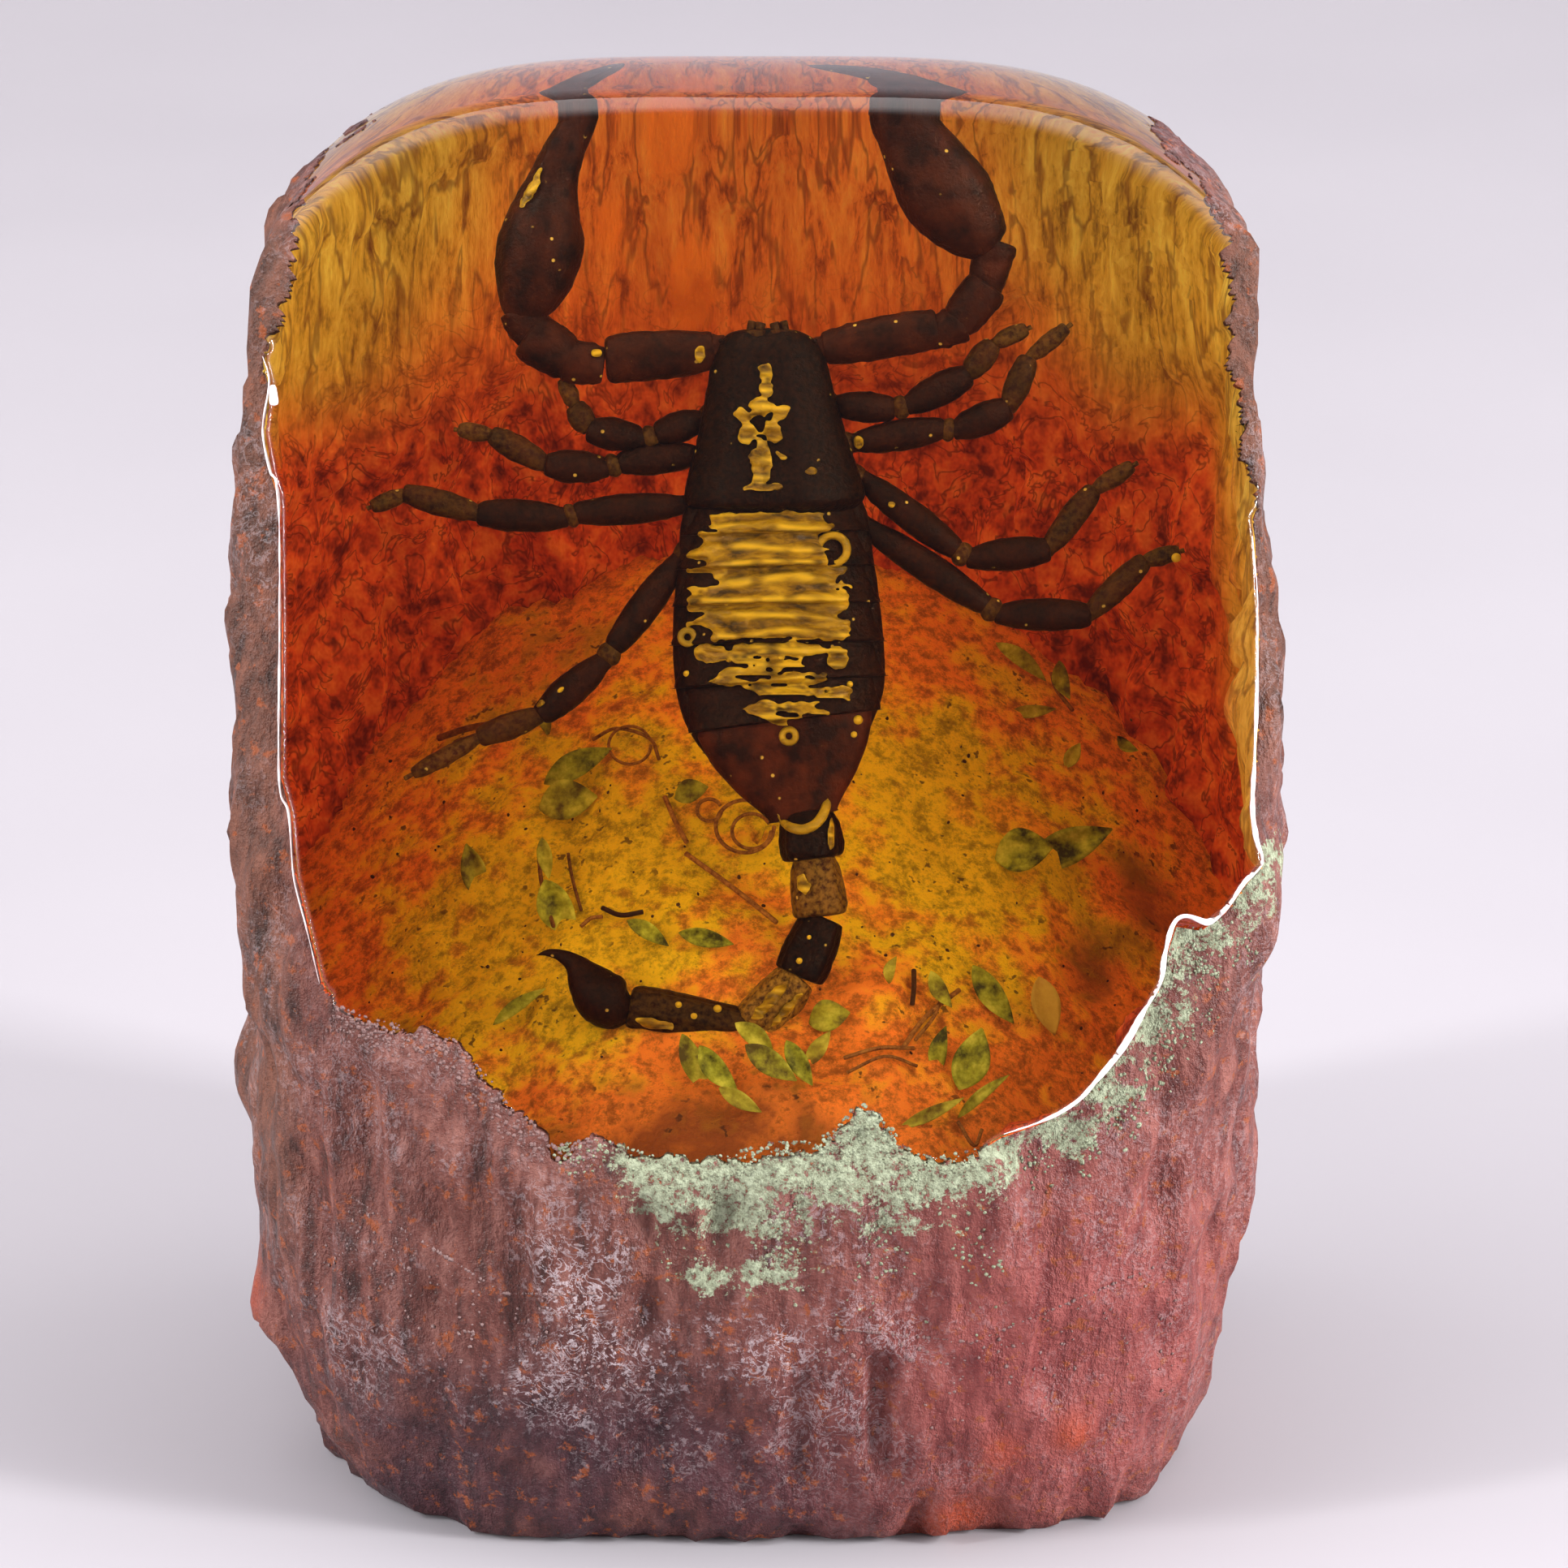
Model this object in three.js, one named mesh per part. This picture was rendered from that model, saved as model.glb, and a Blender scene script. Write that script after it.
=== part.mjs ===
// A scorpion specimen block: one upright casting of amber-coloured resin, shaped like a split log.
// The front is a polished face that leans back and rolls over into a polished top. The sides, the back
// and the foot of the front are a rough, bark-like rind, and the underside is flat.
// Millimetres, +Z up, the polished face looks along -Y, and the origin is under the middle of the block.

import * as THREE from "three";
import { mergeVertices } from "three/addons/utils/BufferGeometryUtils.js";

// Overall form
const HEIGHT = 84.2;
const CENTRE = new THREE.Vector3(0, -0.5, 40);
const REACH = 90;
const CELLS_PER_SIDE = 24;

// Outline of the rough log at each height z, as [z, distance from the upright axis]
const LEFT_SIDE = [
  [-10, 24.6], [0, 26.8], [4, 28.9], [12, 30.2], [22, 30.9], [33, 31.0],
  [44, 31.6], [60, 31.0], [70, 30.0], [79, 28.8], [95, 27.6],
];
const RIGHT_SIDE = [
  [-10, 24.0], [0, 25.8], [4, 28.2], [14, 29.8], [28, 31.0],
  [40, 31.5], [54, 31.5], [65, 30.8], [79, 30.0], [95, 28.4],
];
const FRONT_SIDE = [[-10, 19.6], [0, 21.6], [6, 23.7], [14, 25.0], [26, 25.4], [60, 25.1], [95, 23.2]];
const BACK_SIDE = [[-10, 17.4], [0, 19.2], [8, 21.6], [20, 23.1], [40, 23.7], [60, 22.2], [76, 19.6], [95, 16.0]];
const OUTLINE_BLEND = 4;
const SECTION_POWER = 3.1;

// Polished face: a shallow dome whose lowest point sits on the front of the log
const FACE_LEAN = THREE.MathUtils.degToRad(24);
const FACE_FOOT = new THREE.Vector3(0, -24.4, 27.5);
const FACE_RADIUS_ACROSS = 170;
const FACE_RADIUS_ALONG = 260;

// Polished top: highest in the middle, falling towards both sides and the back
const TOP_FALL_ACROSS = 1.15e-5;
const TOP_FALL_BACK = 0.012;
const TOP_BACK_START = 6;

// Rounding where two surfaces meet
const FACE_TO_TOP_ROUND = 6;
const RIND_EDGE_ROUND = 2.2;
const BASE_EDGE_ROUND = 1.0;

// Bark relief, as layers of noise with [height, cell width, cell length up the log, shift]
const BARK_SWELLS = [0.95, 9.0, 26.0, 3.7];
const BARK_RIDGES = [0.55, 4.2, 13.0, 11.3];
const BARK_LUMPS = [0.45, 7.0, 7.0, 5.1];

const mix = (a, b, t) => a + (b - a) * t;

function readOutline(rows, z) {
  const next = rows.findIndex(([height]) => height > z);
  if (next === 0) return rows[0][1];
  if (next === -1) return rows[rows.length - 1][1];
  const [lowZ, low] = rows[next - 1];
  const [highZ, high] = rows[next];
  return mix(low, high, (z - lowZ) / (highZ - lowZ));
}

function smoothOutline(rows, z) {
  let sum = 0;
  for (let step = -2; step <= 2; step += 1) sum += readOutline(rows, z + (step * OUTLINE_BLEND) / 2);
  return sum / 5;
}

// Negative inside the log, positive outside
function outsideLog(point) {
  const side = smoothOutline(point.x < 0 ? LEFT_SIDE : RIGHT_SIDE, point.z);
  const front = smoothOutline(FRONT_SIDE, point.z);
  const back = smoothOutline(BACK_SIDE, point.z);
  const middle = (back - front) / 2;
  const halfDepth = (back + front) / 2;
  const across = Math.abs(point.x / side) ** SECTION_POWER;
  const along = Math.abs((point.y - middle) / halfDepth) ** SECTION_POWER;
  return across + along - 1;
}

function aboveTop(point) {
  const back = Math.max(point.y - TOP_BACK_START, 0);
  return point.z - (HEIGHT - TOP_FALL_ACROSS * point.x ** 4 - TOP_FALL_BACK * back ** 2);
}

// Distance from the centre along a direction to where a test turns positive
function distanceTo(test, direction) {
  const point = new THREE.Vector3();
  let near = 0;
  let far = REACH;
  for (let step = 0; step < 26; step += 1) {
    const middle = (near + far) / 2;
    if (test(point.copy(CENTRE).addScaledVector(direction, middle)) > 0) far = middle;
    else near = middle;
  }
  return (near + far) / 2;
}

function distanceToFace(direction) {
  const normal = new THREE.Vector3(0, -Math.cos(FACE_LEAN), Math.sin(FACE_LEAN));
  const upFace = new THREE.Vector3(0, Math.sin(FACE_LEAN), Math.cos(FACE_LEAN));
  const foot = FACE_FOOT.clone().sub(CENTRE);
  const crown = foot.dot(normal) + foot.dot(upFace) ** 2 / (2 * FACE_RADIUS_ALONG);
  const along = direction.dot(upFace);
  const curve = direction.x ** 2 / (2 * FACE_RADIUS_ACROSS) + along ** 2 / (2 * FACE_RADIUS_ALONG);
  const rise = direction.dot(normal);
  return (Math.sqrt(rise ** 2 + 4 * curve * crown) - rise) / (2 * curve + 1e-12);
}

function distanceToBase(direction) {
  return direction.z < -1e-6 ? CENTRE.z / -direction.z : 1e4;
}

// The smaller of two distances, with a round of the given size where they are nearly equal
function roundedLeast(a, b, round) {
  const share = THREE.MathUtils.clamp(0.5 + (b - a) / (2 * round), 0, 1);
  return mix(b, a, share) - round * share * (1 - share);
}

function cellValue(i, j, k) {
  const wave = Math.sin(i * 127.1 + j * 311.7 + k * 74.7) * 43758.5453;
  return wave - Math.floor(wave);
}

// Smooth noise between -1 and 1
function noise(x, y, z) {
  const cell = [x, y, z].map(Math.floor);
  const [u, v, w] = [x - cell[0], y - cell[1], z - cell[2]].map((f) => f * f * (3 - 2 * f));
  const corner = (i, j, k) => cellValue(cell[0] + i, cell[1] + j, cell[2] + k);
  const row = (j, k) => mix(corner(0, j, k), corner(1, j, k), u);
  return 2 * mix(mix(row(0, 0), row(1, 0), v), mix(row(0, 1), row(1, 1), v), w) - 1;
}

function barkNoise(point, [, width, length, shift]) {
  return noise(point.x / width + shift, point.y / width + shift, point.z / length + shift);
}

function barkRelief(point) {
  const swells = BARK_SWELLS[0] * barkNoise(point, BARK_SWELLS);
  const ridges = BARK_RIDGES[0] * (0.5 - 2 * Math.abs(barkNoise(point, BARK_RIDGES)));
  const lumps = BARK_LUMPS[0] * barkNoise(point, BARK_LUMPS);
  return swells + ridges + lumps;
}

function surfaceDistance(direction) {
  const polished = roundedLeast(distanceToFace(direction), distanceTo(aboveTop, direction), FACE_TO_TOP_ROUND);
  const log = distanceTo(outsideLog, direction);
  const rind = log + barkRelief(CENTRE.clone().addScaledVector(direction, log));
  return roundedLeast(roundedLeast(polished, rind, RIND_EDGE_ROUND), distanceToBase(direction), BASE_EDGE_ROUND);
}

// A box of even cells, swelled out to the block's surface along rays from its centre
function blockGeometry() {
  const box = new THREE.BoxGeometry(2, 2, 2, CELLS_PER_SIDE, CELLS_PER_SIDE, CELLS_PER_SIDE);
  box.deleteAttribute("normal");
  box.deleteAttribute("uv");
  const geometry = mergeVertices(box, 1e-5);
  const corners = geometry.getAttribute("position");
  const direction = new THREE.Vector3();
  for (let i = 0; i < corners.count; i += 1) {
    direction.fromBufferAttribute(corners, i);
    direction.set(...direction.toArray().map((c) => Math.tan((c * Math.PI) / 4))).normalize();
    const point = direction.clone().multiplyScalar(surfaceDistance(direction)).add(CENTRE);
    corners.setXYZ(i, point.x, point.y, point.z);
  }
  geometry.computeBoundingBox();
  const { min, max } = geometry.boundingBox;
  geometry.translate(-(min.x + max.x) / 2, -(min.y + max.y) / 2, -min.z);
  geometry.computeVertexNormals();
  return geometry;
}

const amberResin = new THREE.MeshStandardMaterial({ color: 0x8a3f24, roughness: 0.45, metalness: 0 });

const resinBlock = new THREE.Mesh(blockGeometry(), amberResin);
resinBlock.name = "resin_block";

const scorpionBlock = new THREE.Group();
scorpionBlock.add(resinBlock);

export default scorpionBlock;
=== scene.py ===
# A scorpion sealed in an upright block of amber resin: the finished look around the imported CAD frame.
# Shapes are worked out in millimetres in the frame of the CAD model and stored in metres.
import math
import random

import bmesh
import bpy
import numpy as np
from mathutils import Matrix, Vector
from mathutils.bvhtree import BVHTree


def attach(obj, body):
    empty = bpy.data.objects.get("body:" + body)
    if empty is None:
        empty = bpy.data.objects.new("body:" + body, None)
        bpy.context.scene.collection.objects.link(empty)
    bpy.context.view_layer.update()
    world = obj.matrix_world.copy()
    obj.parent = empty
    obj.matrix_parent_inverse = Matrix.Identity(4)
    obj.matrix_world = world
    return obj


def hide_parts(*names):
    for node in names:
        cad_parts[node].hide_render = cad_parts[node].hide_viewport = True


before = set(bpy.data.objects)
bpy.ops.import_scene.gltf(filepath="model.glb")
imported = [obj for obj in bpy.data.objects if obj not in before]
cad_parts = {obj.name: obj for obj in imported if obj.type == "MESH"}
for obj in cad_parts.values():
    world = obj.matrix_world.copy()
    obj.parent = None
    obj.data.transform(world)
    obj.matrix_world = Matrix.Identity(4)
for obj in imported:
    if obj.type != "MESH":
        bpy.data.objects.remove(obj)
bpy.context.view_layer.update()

MM = 0.001
RESIN_IOR = 1.54
chance = random.Random(7)

# ---------------------------------------------------------------- camera

PHOTO_SIDE = 1932
VIEW_DOWN = math.radians(22.0)
CAMERA_DISTANCE = 420.0
SENSOR_WIDTH = 36.0
FRAME_WIDTH = 95.7
PIXEL = FRAME_WIDTH / PHOTO_SIDE
TARGET = np.array([1.6, 0.0, 40.7])
RIGHT = np.array([1.0, 0.0, 0.0])
TO_CAMERA = np.array([0.0, -math.cos(VIEW_DOWN), math.sin(VIEW_DOWN)])
UP = np.array([0.0, math.sin(VIEW_DOWN), math.cos(VIEW_DOWN)])
EYE = TARGET + TO_CAMERA * CAMERA_DISTANCE


def put_in_scene(name, data):
    made = bpy.data.objects.new(name, data)
    bpy.context.scene.collection.objects.link(made)
    return made


def make_camera():
    data = bpy.data.cameras.new("camera")
    data.sensor_width = SENSOR_WIDTH
    data.lens = SENSOR_WIDTH * CAMERA_DISTANCE / FRAME_WIDTH
    data.clip_start = 0.01
    camera = put_in_scene("camera", data)
    camera.location = Vector(EYE * MM)
    camera.rotation_mode = "QUATERNION"
    camera.rotation_quaternion = Vector(-TO_CAMERA).to_track_quat("-Z", "Y")
    bpy.context.scene.camera = camera


def pixels_of(points):
    """Where points of the block, in mm, fall in the photograph's frame."""
    from_eye = points - EYE
    depth = -from_eye @ TO_CAMERA
    across = from_eye @ RIGHT / depth * CAMERA_DISTANCE / PIXEL
    upward = from_eye @ UP / depth * CAMERA_DISTANCE / PIXEL
    middle = PHOTO_SIDE / 2
    return np.stack([middle + across, middle - upward], axis=-1)


def unit(vectors):
    return vectors / np.linalg.norm(vectors, axis=-1, keepdims=True)


def turns(count):
    """Even angles all the way round."""
    return np.linspace(0, 2 * math.pi, count, endpoint=False)


def sight_lines(pixels):
    """Directions from the eye through pixels of the photograph's frame."""
    across = (pixels[:, 0] - PHOTO_SIDE / 2) * PIXEL
    upward = (PHOTO_SIDE / 2 - pixels[:, 1]) * PIXEL
    return unit(across[:, None] * RIGHT + upward[:, None] * UP - TO_CAMERA * CAMERA_DISTANCE)


make_camera()

# ---------------------------------------------------------------- form of the block
# As in the CAD model, with a crisper edge between the polished face and the polished top

HEIGHT = 84.2
CENTRE = np.array([0.0, -0.5, 40.0])
REACH = 90.0
LEFT_SIDE = [(-10, 24.6), (0, 26.8), (4, 28.9), (12, 30.2), (22, 30.9), (33, 31.0),
             (44, 31.6), (60, 31.0), (70, 30.0), (79, 28.8), (95, 27.6)]
RIGHT_SIDE = [(-10, 24.0), (0, 25.8), (4, 28.2), (14, 29.8), (28, 31.0),
              (40, 31.5), (54, 31.5), (65, 30.8), (79, 30.0), (95, 28.4)]
FRONT_SIDE = [(-10, 19.6), (0, 21.6), (6, 23.7), (14, 25.0), (26, 25.4), (60, 25.1), (95, 23.2)]
BACK_SIDE = [(-10, 17.4), (0, 19.2), (8, 21.6), (20, 23.1), (40, 23.7), (60, 22.2), (76, 19.6),
             (95, 16.0)]
OUTLINE_BLEND = 4.0
SECTION_POWER = 3.1
FACE_LEAN = math.radians(24.0)
FACE_FOOT = np.array([0.0, -24.4, 27.5])
FACE_RADIUS_ACROSS = 170.0
FACE_RADIUS_ALONG = 260.0
TOP_FALL_ACROSS = 1.15e-5
TOP_FALL_BACK = 0.012
TOP_BACK_START = 6.0
FACE_TO_TOP_ROUND = 1.8
TOP_DROP = 0.95
RIND_EDGE_ROUND = 0.8
BASE_EDGE_ROUND = 1.0
BARK_SWELLS = (0.95, 9.0, 26.0, 3.7)
BARK_RIDGES = (0.55, 4.2, 13.0, 11.3)
BARK_LUMPS = (0.45, 7.0, 7.0, 5.1)
FACE_NORMAL = np.array([0.0, -math.cos(FACE_LEAN), math.sin(FACE_LEAN)])
FACE_UP = np.array([0.0, math.sin(FACE_LEAN), math.cos(FACE_LEAN)])
TO_FOOT = FACE_FOOT - CENTRE
FACE_CROWN = TO_FOOT @ FACE_NORMAL + (TO_FOOT @ FACE_UP) ** 2 / (2 * FACE_RADIUS_ALONG)


def ease(low, high, value):
    """A smooth step from 0 at low to 1 at high."""
    share = np.clip((value - low) / (high - low), 0.0, 1.0)
    return share * share * (3 - 2 * share)


def smooth_outline(rows, z):
    heights, widths = zip(*rows)
    steps = [np.interp(z + step * OUTLINE_BLEND / 2, heights, widths) for step in range(-2, 3)]
    return sum(steps) / len(steps)


def outside_log(points):
    x, y, z = points.T
    side = np.where(x < 0, smooth_outline(LEFT_SIDE, z), smooth_outline(RIGHT_SIDE, z))
    front = smooth_outline(FRONT_SIDE, z)
    back = smooth_outline(BACK_SIDE, z)
    middle = (back - front) / 2
    half_depth = (back + front) / 2
    return np.abs(x / side) ** SECTION_POWER + np.abs((y - middle) / half_depth) ** SECTION_POWER - 1


def above_top(points):
    x, y, z = points.T
    back = np.maximum(y - TOP_BACK_START, 0)
    return z - (HEIGHT - TOP_DROP - TOP_FALL_ACROSS * x ** 4 - TOP_FALL_BACK * back ** 2)


def halve(near, far, steps, past):
    """Closes in, between near and far along each line, on where a test first holds."""
    for _ in range(steps):
        middle = (near + far) / 2
        over = past(middle)
        far = np.where(over, middle, far)
        near = np.where(over, near, middle)
    return near, far


def distance_to(test, directions):
    """Distance from the centre along each direction to where a test turns positive."""
    near, far = halve(np.zeros(len(directions)), np.full(len(directions), REACH), 26,
                      lambda middle: test(CENTRE + directions * middle[:, None]) > 0)
    return (near + far) / 2


def distance_to_face(directions):
    along = directions @ FACE_UP
    curve = directions[:, 0] ** 2 / (2 * FACE_RADIUS_ACROSS) + along ** 2 / (2 * FACE_RADIUS_ALONG)
    rise = directions @ FACE_NORMAL
    return (np.sqrt(rise ** 2 + 4 * curve * FACE_CROWN) - rise) / (2 * curve + 1e-12)


def distance_to_base(directions):
    down = np.maximum(-directions[:, 2], 1e-6)
    return np.where(directions[:, 2] < -1e-6, CENTRE[2] / down, 1e4)


def rounded_least(a, b, size):
    share = np.clip(0.5 + (b - a) / (2 * size), 0, 1)
    return b + (a - b) * share - size * share * (1 - share)


def cell_value(i, j, k):
    wave = np.sin(i * 127.1 + j * 311.7 + k * 74.7) * 43758.5453
    return wave - np.floor(wave)


def noise(points):
    """Smooth noise between -1 and 1."""
    cell = np.floor(points)
    part = points - cell
    part = part * part * (3 - 2 * part)
    total = 0
    for corner in np.ndindex(2, 2, 2):
        weight = np.prod(np.where(corner, part, 1 - part), axis=1)
        total = total + cell_value(*(cell + corner).T) * weight
    return 2 * total - 1


def bark_noise(points, layer):
    _, width, length, shift = layer
    return noise(points / np.array([width, width, length]) + shift)


def bark_relief(points):
    swells = BARK_SWELLS[0] * bark_noise(points, BARK_SWELLS)
    ridges = BARK_RIDGES[0] * (0.5 - 2 * np.abs(bark_noise(points, BARK_RIDGES)))
    lumps = BARK_LUMPS[0] * bark_noise(points, BARK_LUMPS)
    return swells + ridges + lumps


def sphere_of_cells(cells):
    """Even directions and the quads between them, from a cube of cells swelled to a sphere."""
    steps = np.tan(np.linspace(-math.pi / 4, math.pi / 4, cells + 1))
    side_quads = turned(quads_between(cells + 1, cells + 1))
    numbers, directions, quads = {}, [], []
    for axis in range(3):
        for sign in (-1.0, 1.0):
            grid = []
            for point in np.roll([(sign, u, v) for u in steps for v in steps], axis, axis=1):
                key = tuple(np.round(point, 6))
                if key not in numbers:
                    numbers[key] = len(directions)
                    directions.append(point)
                grid.append(numbers[key])
            for quad in side_quads:
                quad = [grid[corner] for corner in quad]
                quads.append(quad if sign > 0 else quad[::-1])
    return unit(np.array(directions)), quads


# ---------------------------------------------------------------- edge of the polished window

# Traced down the broken left edge and the smooth left lip, along the ragged crust, and up the right lip
# and the broken right edge, in photo pixels
LEFT_BREAK = [(490, 100), (455, 138), (405, 176), (384, 212), (364, 262), (353, 330), (340, 400)]
LEFT_LIP = [(322, 440), (330, 470), (322, 530), (331, 580), (341, 610), (343, 760), (342, 958),
            (354, 1003), (360, 1079), (376, 1145), (392, 1212)]
CRUST_EDGE = [(409, 1244), (459, 1262), (548, 1278), (606, 1342), (682, 1420), (731, 1407),
              (807, 1431), (896, 1429), (950, 1413), (1003, 1413), (1034, 1395), (1060, 1366),
              (1092, 1391), (1110, 1418), (1150, 1434), (1203, 1422)]
RIGHT_LIP = [(1239, 1404), (1288, 1387), (1329, 1364), (1355, 1337), (1387, 1297), (1413, 1253),
             (1436, 1212), (1442, 1177), (1456, 1137), (1489, 1143), (1516, 1123), (1538, 1092),
             (1561, 1065), (1554, 1029), (1550, 989), (1554, 900), (1556, 760), (1550, 660)]
RIGHT_BREAK = [(1540, 590), (1526, 500), (1518, 400), (1510, 320), (1500, 262), (1478, 218),
               (1440, 182), (1426, 150)]
ABOVE_BLOCK = [(1460, -300), (460, -300)]
LIP_ROUND = 0.45
LIP_STEP = 0.5
LIP_FALL = 0.30
LIP_FALL_MOST = 1.6
LIP_DIVE = 0.8
LIP_OVERLAP = -0.35
LIP_BLEND = 1.2
SNAP_WITHIN = 0.15
WALL_SLOPE = 1.5
WALL_MARGIN = 0.45
RAGGED = [(0.50, 2.6), (0.45, 1.1), (0.40, 0.5)]


def distance_to_line(points, line):
    least = np.full(len(points), np.inf)
    for start, end in zip(line[:-1], line[1:]):
        start, end = np.array(start, float), np.array(end, float)
        run = end - start
        share = np.clip(((points - start) @ run) / (run @ run), 0, 1)
        away = np.linalg.norm(points - start - share[:, None] * run, axis=1)
        least = np.minimum(least, away)
    return least


def inside_outline(points, outline):
    inside = np.zeros(len(points), bool)
    for (x0, y0), (x1, y1) in zip(outline, outline[1:] + outline[:1]):
        crosses = (y0 > points[:, 1]) != (y1 > points[:, 1])
        meet = x0 + (points[:, 1] - y0) * (x1 - x0) / ((y1 - y0) or 1e-9)
        inside ^= crosses & (points[:, 0] < meet)
    return inside


def window_edge(points):
    """How far points lie inside the window's edge, in mm, and how much that edge is a smooth lip
    and not a ragged crust."""
    spots = pixels_of(points)
    outline = LEFT_BREAK + LEFT_LIP + CRUST_EDGE + RIGHT_LIP + RIGHT_BREAK
    to_edge = distance_to_line(spots, outline) * PIXEL
    inside = np.where(inside_outline(spots, outline + ABOVE_BLOCK), to_edge, -to_edge)
    broken = [distance_to_line(spots, line) for line in (LEFT_BREAK, CRUST_EDGE, RIGHT_BREAK)]
    smooth = [distance_to_line(spots, line) for line in (LEFT_LIP, RIGHT_LIP)]
    nearer = (np.minimum.reduce(broken) - np.minimum.reduce(smooth)) * PIXEL
    lip = ease(-LIP_BLEND, LIP_BLEND, nearer)
    ragged = sum(rise * noise(points / size + 5.5) for rise, size in RAGGED)
    return inside + ragged * (1 - lip), lip


# ---------------------------------------------------------------- surfaces of the block

# Finer bark than the CAD solid holds, as rise, width, length and shift
PLATES_OF_BARK = (1.05, 2.4, 5.5, 1.9)
GRAIN_OF_BARK = (0.34, 0.9, 2.2, 8.2)
# Lumps, hollows and drips, as place, radius and rise
HOLLOWS = [((30.5, 0.0, 68.0), 13.0, -1.3), ((29.0, -5.0, 6.0), 10.0, -1.7),
           ((-31.0, -6.0, 36.6), 2.6, -1.3), ((-28.4, -9.0, 3.6), 2.4, -1.5),
           ((-31.8, -10.3, 41.8), 1.1, -0.5)]
DRIPS = [((-29.9, -9.0, 10.6), 2.4, 2.9), ((-31.5, -6.0, 43.0), 3.6, 0.6),
         ((-30.5, -6.0, 24.0), 4.0, 1.4), ((28.0, -18.0, 38.0), 6.5, 2.8),
         ((30.0, -13.0, 52.0), 7.0, 0.3), ((12.0, -21.5, 1.2), 2.6, 1.3),
         ((14.8, -23.5, 6.5), 1.6, 0.9), ((19.0, -22.0, 7.5), 1.5, 0.9),
         ((-14.0, -22.5, 2.0), 3.0, 0.9), ((-3.0, -22.8, 1.5), 3.5, 0.7), ((29.5, -9.0, 5.0), 2.4, 0.8)]
RED_DRIPS = (DRIPS[0], *DRIPS[5:8])
CREST_ROUND = 0.02
CRUST_RISE = 0.14
BODY_UNDER_RIND = 0.15
WINDOW_ROUND = 0.4
# Where things fade in across the window's edge, as mm inside it
CRUST_FADE = (0.3, -0.3)
BARK_FADE = (-0.2, -2.0)
COVER_FADE = (0.05, -0.5)


def fine_bark(points):
    crests = np.sqrt(bark_noise(points, PLATES_OF_BARK) ** 2 + CREST_ROUND)
    plates = PLATES_OF_BARK[0] * (0.6 - crests * 1.6)
    return plates + GRAIN_OF_BARK[0] * bark_noise(points, GRAIN_OF_BARK)


def block_layers(directions):
    """Distances to the clear resin and to the rind, with how far inside the window's edge each
    direction falls and how much that edge is a lip."""
    face = rounded_least(distance_to_face(directions), distance_to(above_top, directions),
                         FACE_TO_TOP_ROUND)
    log = distance_to(outside_log, directions)
    log_points = CENTRE + directions * log[:, None]
    wall = log + bark_relief(log_points)
    for spot, radius, rise in HOLLOWS + DRIPS:
        away = np.linalg.norm(log_points - np.array(spot), axis=1)
        wall = wall + rise * np.exp(-((away / radius) ** 2))
    inside, lip = window_edge(CENTRE + directions * face[:, None])
    inside = np.minimum(inside, (wall - face) * WALL_SLOPE + WALL_MARGIN)

    fall = np.minimum(LIP_FALL * np.maximum(-inside, 0), LIP_FALL_MOST)
    sunk = -LIP_STEP - fall - LIP_DIVE * np.maximum(inside, 0)
    raised = CRUST_RISE * ease(*CRUST_FADE, inside)
    rind = rounded_least(face + sunk * lip + raised * (1 - lip), wall, RIND_EDGE_ROUND)
    rind = rind + ease(*BARK_FADE, inside) * fine_bark(log_points)

    rim = np.clip(1 - np.maximum(inside, 0) / LIP_ROUND, 0, 1)
    window = face - lip * LIP_STEP * (1 - np.sqrt(np.maximum(1 - rim ** 2, 0)))
    gap = BODY_UNDER_RIND * ease(*COVER_FADE, inside)
    window = rounded_least(window, np.maximum(wall, face - LIP_STEP), WINDOW_ROUND)
    body = np.where(inside > 0, window, np.minimum(window, rind - gap))
    base = distance_to_base(directions)
    rind = rounded_least(rind, base, BASE_EDGE_ROUND)
    body = np.minimum(np.minimum(body, base - BODY_UNDER_RIND), np.where(inside > 0, body, rind - gap))
    return body, rind, inside, lip


def mesh_object(name, points, faces, material):
    mesh = bpy.data.meshes.new(name)
    mesh.from_pydata((np.asarray(points) * MM).tolist(), [], faces)
    mesh.polygons.foreach_set("use_smooth", [True] * len(mesh.polygons))
    mesh.materials.append(material)
    return put_in_scene(name, mesh)


def store(made, name, values):
    data = made.data.attributes.new(name, "FLOAT", "POINT")
    data.data.foreach_set("value", np.asarray(values, np.float32))


def keep_piece(piece):
    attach(piece, "root")
    return piece


def refine(directions, faces, chosen):
    """Halves the cells that have a chosen corner."""
    ball = bmesh.new()
    corners = [ball.verts.new(direction) for direction in directions]
    for face in faces:
        ball.faces.new([corners[i] for i in face])
    ball.verts.index_update()
    edges = [e for e in ball.edges if chosen[e.verts[0].index] or chosen[e.verts[1].index]]
    bmesh.ops.subdivide_edges(ball, edges=edges, cuts=1, use_grid_fill=True)
    ball.verts.index_update()
    finer = np.array([v.co for v in ball.verts])
    faces = [[v.index for v in face.verts] for face in ball.faces]
    ball.free()
    return unit(finer), faces


def only_used(faces, *arrays):
    """Faces renumbered over the corners that they use, and the arrays cut down to those corners."""
    used = sorted({corner for face in faces for corner in face})
    numbers = {old: new for new, old in enumerate(used)}
    faces = [[numbers[corner] for corner in face] for face in faces]
    return faces, [array[used] for array in arrays]


def surface_of(points, faces):
    """A surface, in mm, on which rays can be caught."""
    return BVHTree.FromPolygons(points.tolist(), faces)


def open_edges(faces):
    """Edges that only one face has, in the direction that the face runs."""
    edges = {(a, b) for face in faces for a, b in zip(face, face[1:] + face[:1])}
    return [(a, b) for a, b in sorted(edges) if (b, a) not in edges]


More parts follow.
